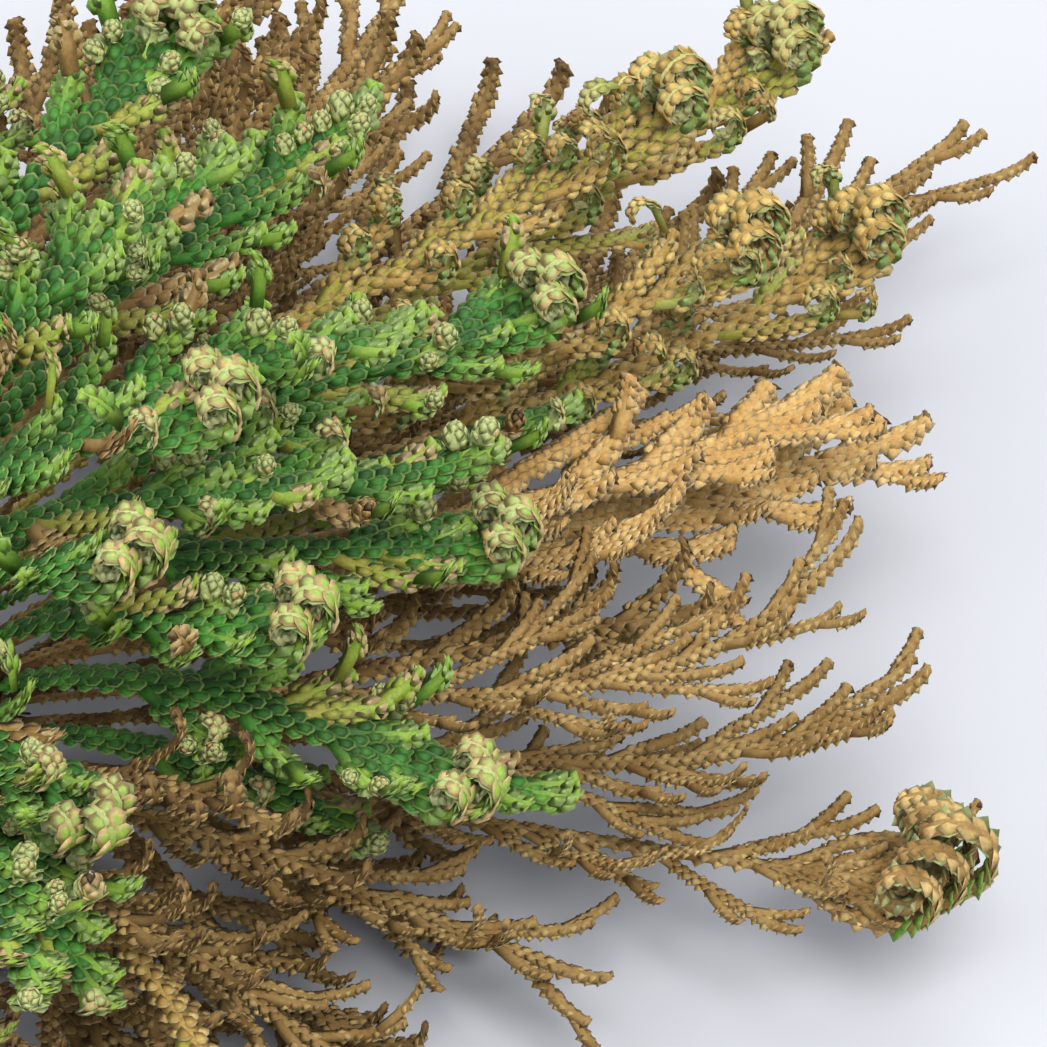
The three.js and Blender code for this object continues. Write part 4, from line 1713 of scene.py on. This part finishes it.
@dataclass
class Fronds:
    """All the fronds of the rosette, one piece for each, in place of its solid."""

    rosette: Rosette

    def build(self) -> None:
        """Give every frond its sprigs, dress it, and count the fronds by kind as their solids are."""
        materials: "dict[LeafFinish, bpy.types.Material]" = {}
        numbers = dict.fromkeys(Habit, 0)
        for k, frond in enumerate(self.rosette.fronds):
            others = Crowd([s for other in self.rosette.fronds if other is not frond for s in other.shoots])
            around = others.near(frond.axis.centre, frond.axis.radius + 30)
            SPRIGS[frond.seat.habit].add_to(frond, k, around)
        for k, frond in enumerate(self.rosette.fronds):
            habit, plan = frond.seat.habit, dressing_of(frond.seat)
            if plan.finish not in materials:
                materials[plan.finish] = plan.finish.make()
            numbers[habit] += 1
            node = f"{habit.value}_frond_{numbers[habit]:02d}"
            bodies = Dresser(frond, k, plan).bodies()
            piece = add_piece(f"{node}_leaves", bodies, materials[plan.finish])
            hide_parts(node)


@dataclass
class Undergrowth:
    """Old dry fronds, in the room between the rosette's layers."""

    rosette: Rosette
    old: tuple = (
        ring(12, -82, -4, seat(Habit.TAN, 0, 46, 5, 0, -2, reach=0.46)),
        ring(12, -76, 2, seat(Habit.TAN, 0, 40, 10, 8, -2, reach=0.46)),
        ring(8, -80, 10, seat(Habit.TAN, 0, 36, 17, 20, -4, reach=0.46)),
        ring(9, 0, 60, seat(Habit.TAN, 0, 56, 14, 12, 4, reach=0.42)),
        ring(8, -20, 60, seat(Habit.TAN, 0, 40, 14, 16, 4, reach=0.46)),
        ring(6, 0, 60, seat(Habit.TAN, 0, 48, 24, 28, 2, reach=0.42)),
        ring(9, 66, 280, seat(Habit.TAN, 0, 56, 12, 10, 4, reach=0.42)),
        ring(7, 26, 76, seat(Habit.TAN, 0, 76, 17, 12, 10, reach=0.42)),
        ring(8, 22, 80, seat(Habit.TAN, 0, 64, 25, 26, 8, reach=0.42)),
        ring(7, 30, 72, seat(Habit.TAN, 0, 84, 12, 6, 8, reach=0.42)),
    )

    def build(self) -> None:
        """Grow the old fronds and make a piece of each."""
        finish = OLD.make()
        places = [place for group in self.old for place in group]
        for i, frond in enumerate(self.rosette.fill(places), 1):
            bodies = Dresser(frond, 300 + i, OLD_DRESS).bodies()
            add_piece(f"old_frond_{i:02d}", bodies, finish)


@dataclass
class Crown:
    """The old leaf bases that the fronds stand in, and the mat of wiry roots below. Sizes in millimetres."""

    radius: float = 13.0
    rise: float = 15.0
    middle: float = 13.0
    bases: int = 260
    tuft_radius: float = 15.0
    neck: float = 9.0
    tuft_top: float = 5.6
    roots: int = 110
    root_reach: float = 4.0
    sides: int = 28

    def build(self) -> None:
        """Make both pieces, in place of their solids."""
        draw = np.random.default_rng(7)
        crown = add_piece("crown_leaf_bases", self.dome(draw), LEAF_BASE.make())
        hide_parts("crown")
        tuft = add_piece("root_tuft_roots", self.mat(draw), ROOT.make())
        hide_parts("root_tuft")

    def dome(self, draw: np.random.Generator) -> "list[Body]":
        """Make the crown: a dome clad in leaf bases.

        The dome's section is the radius times the cosine, and the rise times the sine, of the angle above its
        middle.

        Args:
            draw: the random draw.

        Returns:
            The dome and the leaf bases.
        """
        low = math.asin((self.tuft_top - self.middle) / self.rise)
        angle = np.linspace(low, math.pi / 2 - 0.05, 9)
        profile = np.stack([self.radius * np.cos(angle), self.middle + self.rise * np.sin(angle)], 1) * 0.92
        profile[:, 1] += 0.08 * self.middle
        levels = np.linspace(math.sin(low) + 0.05, 0.97, self.bases)
        radii = np.array([self.radius, self.radius, self.rise])
        leaves = clad(ScaleLeaf(0.34, 0.24, ROUND_RIM, 0.03, 0.0), levels, radii, 0.16, draw)
        leaves.points[:, 2] += self.middle
        return [revolved(profile, self.sides, 0.05, 1.0), leaves]

    def mat(self, draw: np.random.Generator) -> "list[Body]":
        """Make a flared stump, with roots that leave its neck, fall to the ground and run out along it.

        A root's radius runs evenly from the neck to its reach, its height is the top times the square of what
        is left, and it weaves to the side by a wave.

        Args:
            draw: the random draw.

        Returns:
            The stump and the roots.
        """
        z = np.array([0.0, 0.5, 1.4, 3.0, self.tuft_top])
        r = np.array([0.9, 0.97, 0.95, 0.72, self.neck / self.tuft_radius]) * self.tuft_radius * 0.94
        bodies = [revolved(np.stack([r, z], 1), self.sides, 0.08, 2.0)]
        s = np.linspace(0, 1, 12)
        for i in range(self.roots):
            azimuth, reach, weave, phase, size, height = draw.random(6)
            end = self.tuft_radius + self.root_reach * (reach - 0.15)
            out = self.neck * 0.85 + (end - self.neck * 0.85) * s
            turn = azimuth * 2 * math.pi + (0.05 + 0.1 * weave) * np.sin(2 * math.pi * (1.5 * s + phase)) * s
            waves = 0.25 * np.sin(9 * s + 6 * phase) * s
            up = self.tuft_top * (0.55 + 0.45 * height) * (1 - s) ** 2 + 0.5 + waves
            points = np.stack([out * np.cos(turn), out * np.sin(turn), up], 1)
            tangents = unit(np.gradient(points, axis=0))
            normals = squared(np.tile([0.0, 0.0, 1.0], (12, 1)), tangents)
            thick = (0.24 + 0.22 * size) * (1 - 0.6 * s)
            bodies.append(tube(points, normals, tangents, thick, thick, np.minimum(thick, 0.4)))
        return bodies


@dataclass
class Studio:
    """The pale floor, the soft lights and the camera."""

    bounces: int = 1
    target: tuple = (48.5, 12.5, 20.0)
    distance: float = 450.0
    elevation: float = 45.0
    view_width: float = 73.29
    sensor: float = 36.0
    floor_size: float = 2.4
    floor_colour: str = "#c6c7cc"

    def build(self) -> None:
        """Set up the floor, lights and camera."""
        self.lay_floor()
        self.hang_lights()
        self.set_camera()

    def lay_floor(self) -> None:
        """Lay a plain painted board under the plant."""
        half = self.floor_size / 2
        mesh = bpy.data.meshes.new("floor")
        corners = [(-half, -half, 0), (half, -half, 0), (half, half, 0), (-half, half, 0)]
        mesh.from_pydata(corners, [], [(0, 1, 2, 3)])
        floor = bpy.data.objects.new("floor", mesh)
        bpy.context.scene.collection.objects.link(floor)
        tree = Palette("matt painted board")
        tone = tree.blend(tree.noise(40.0, 0.0), self.floor_colour, "#c2c3c9")
        mesh.materials.append(tree.finish(tone, 0.9, tree.noise(1.5), 0.01))

    def hang_lights(self) -> None:
        """Hang a broad key light, a fill and a rim light, and set the room's own light."""
        for name, place, size, watts in (
            ("key", (0.25, -0.35, 0.9), 0.7, 9.0),
            ("fill", (-0.8, -0.3, 0.6), 0.8, 3.5),
            ("back", (0.2, 0.9, 0.7), 0.7, 5.0),
        ):
            data = bpy.data.lights.new(name, "AREA")
            data.energy, data.size = watts, size
            lamp = bpy.data.objects.new(name, data)
            lamp.location = place
            lamp.rotation_euler = (-math.pi / 2 + math.atan2(place[2], math.hypot(*place[:2])), 0, 0)
            bpy.context.scene.collection.objects.link(lamp)
            self.aim(lamp, (0.03, 0.01, 0.02))
        world = bpy.data.worlds.new("studio")
        world.use_nodes = True
        world.node_tree.nodes["Background"].inputs["Color"].default_value = linear("#f2f4f8")
        world.node_tree.nodes["Background"].inputs["Strength"].default_value = 0.69
        bpy.context.scene.world = world
        scene = bpy.context.scene
        scene.view_settings.view_transform = "Standard"
        scene.cycles.max_bounces = self.bounces
        scene.cycles.diffuse_bounces = self.bounces

    @staticmethod
    def aim(thing: bpy.types.Object, target: tuple) -> None:
        """Turn a lamp or camera towards a point.

        Args:
            thing: the lamp or camera.
            target: the point, in metres.
        """
        sight = np.array(target) - np.array(thing.location)
        flat = math.hypot(sight[0], sight[1])
        thing.rotation_euler = (math.pi / 2 + math.atan2(sight[2], flat), 0, math.atan2(-sight[0], sight[1]))

    def set_camera(self) -> None:
        """Place the camera on the front side, looking down at the target."""
        climb = math.radians(self.elevation)
        out, up = self.distance * math.cos(climb), self.distance * math.sin(climb)
        data = bpy.data.cameras.new("camera")
        data.sensor_width = self.sensor
        data.lens = self.sensor * self.distance / self.view_width
        data.clip_start = 0.01
        camera = bpy.data.objects.new("camera", data)
        x, y, z = self.target
        camera.location = (x * MM, (y - out) * MM, (z + up) * MM)
        bpy.context.scene.collection.objects.link(camera)
        self.aim(camera, (x * MM, y * MM, z * MM))
        bpy.context.scene.camera = camera


def main() -> None:
    """Grow the plant, dress it and set up the studio."""
    logging.basicConfig(level=logging.INFO, format="%(message)s")
    rosette = Rosette()
    rosette.grow_all()
    LOG.info("grown: %d fronds", len(rosette.fronds))
    Fronds(rosette).build()
    Undergrowth(rosette).build()
    Crown().build()
    Studio().build()


if __name__ == "__main__":
    main()
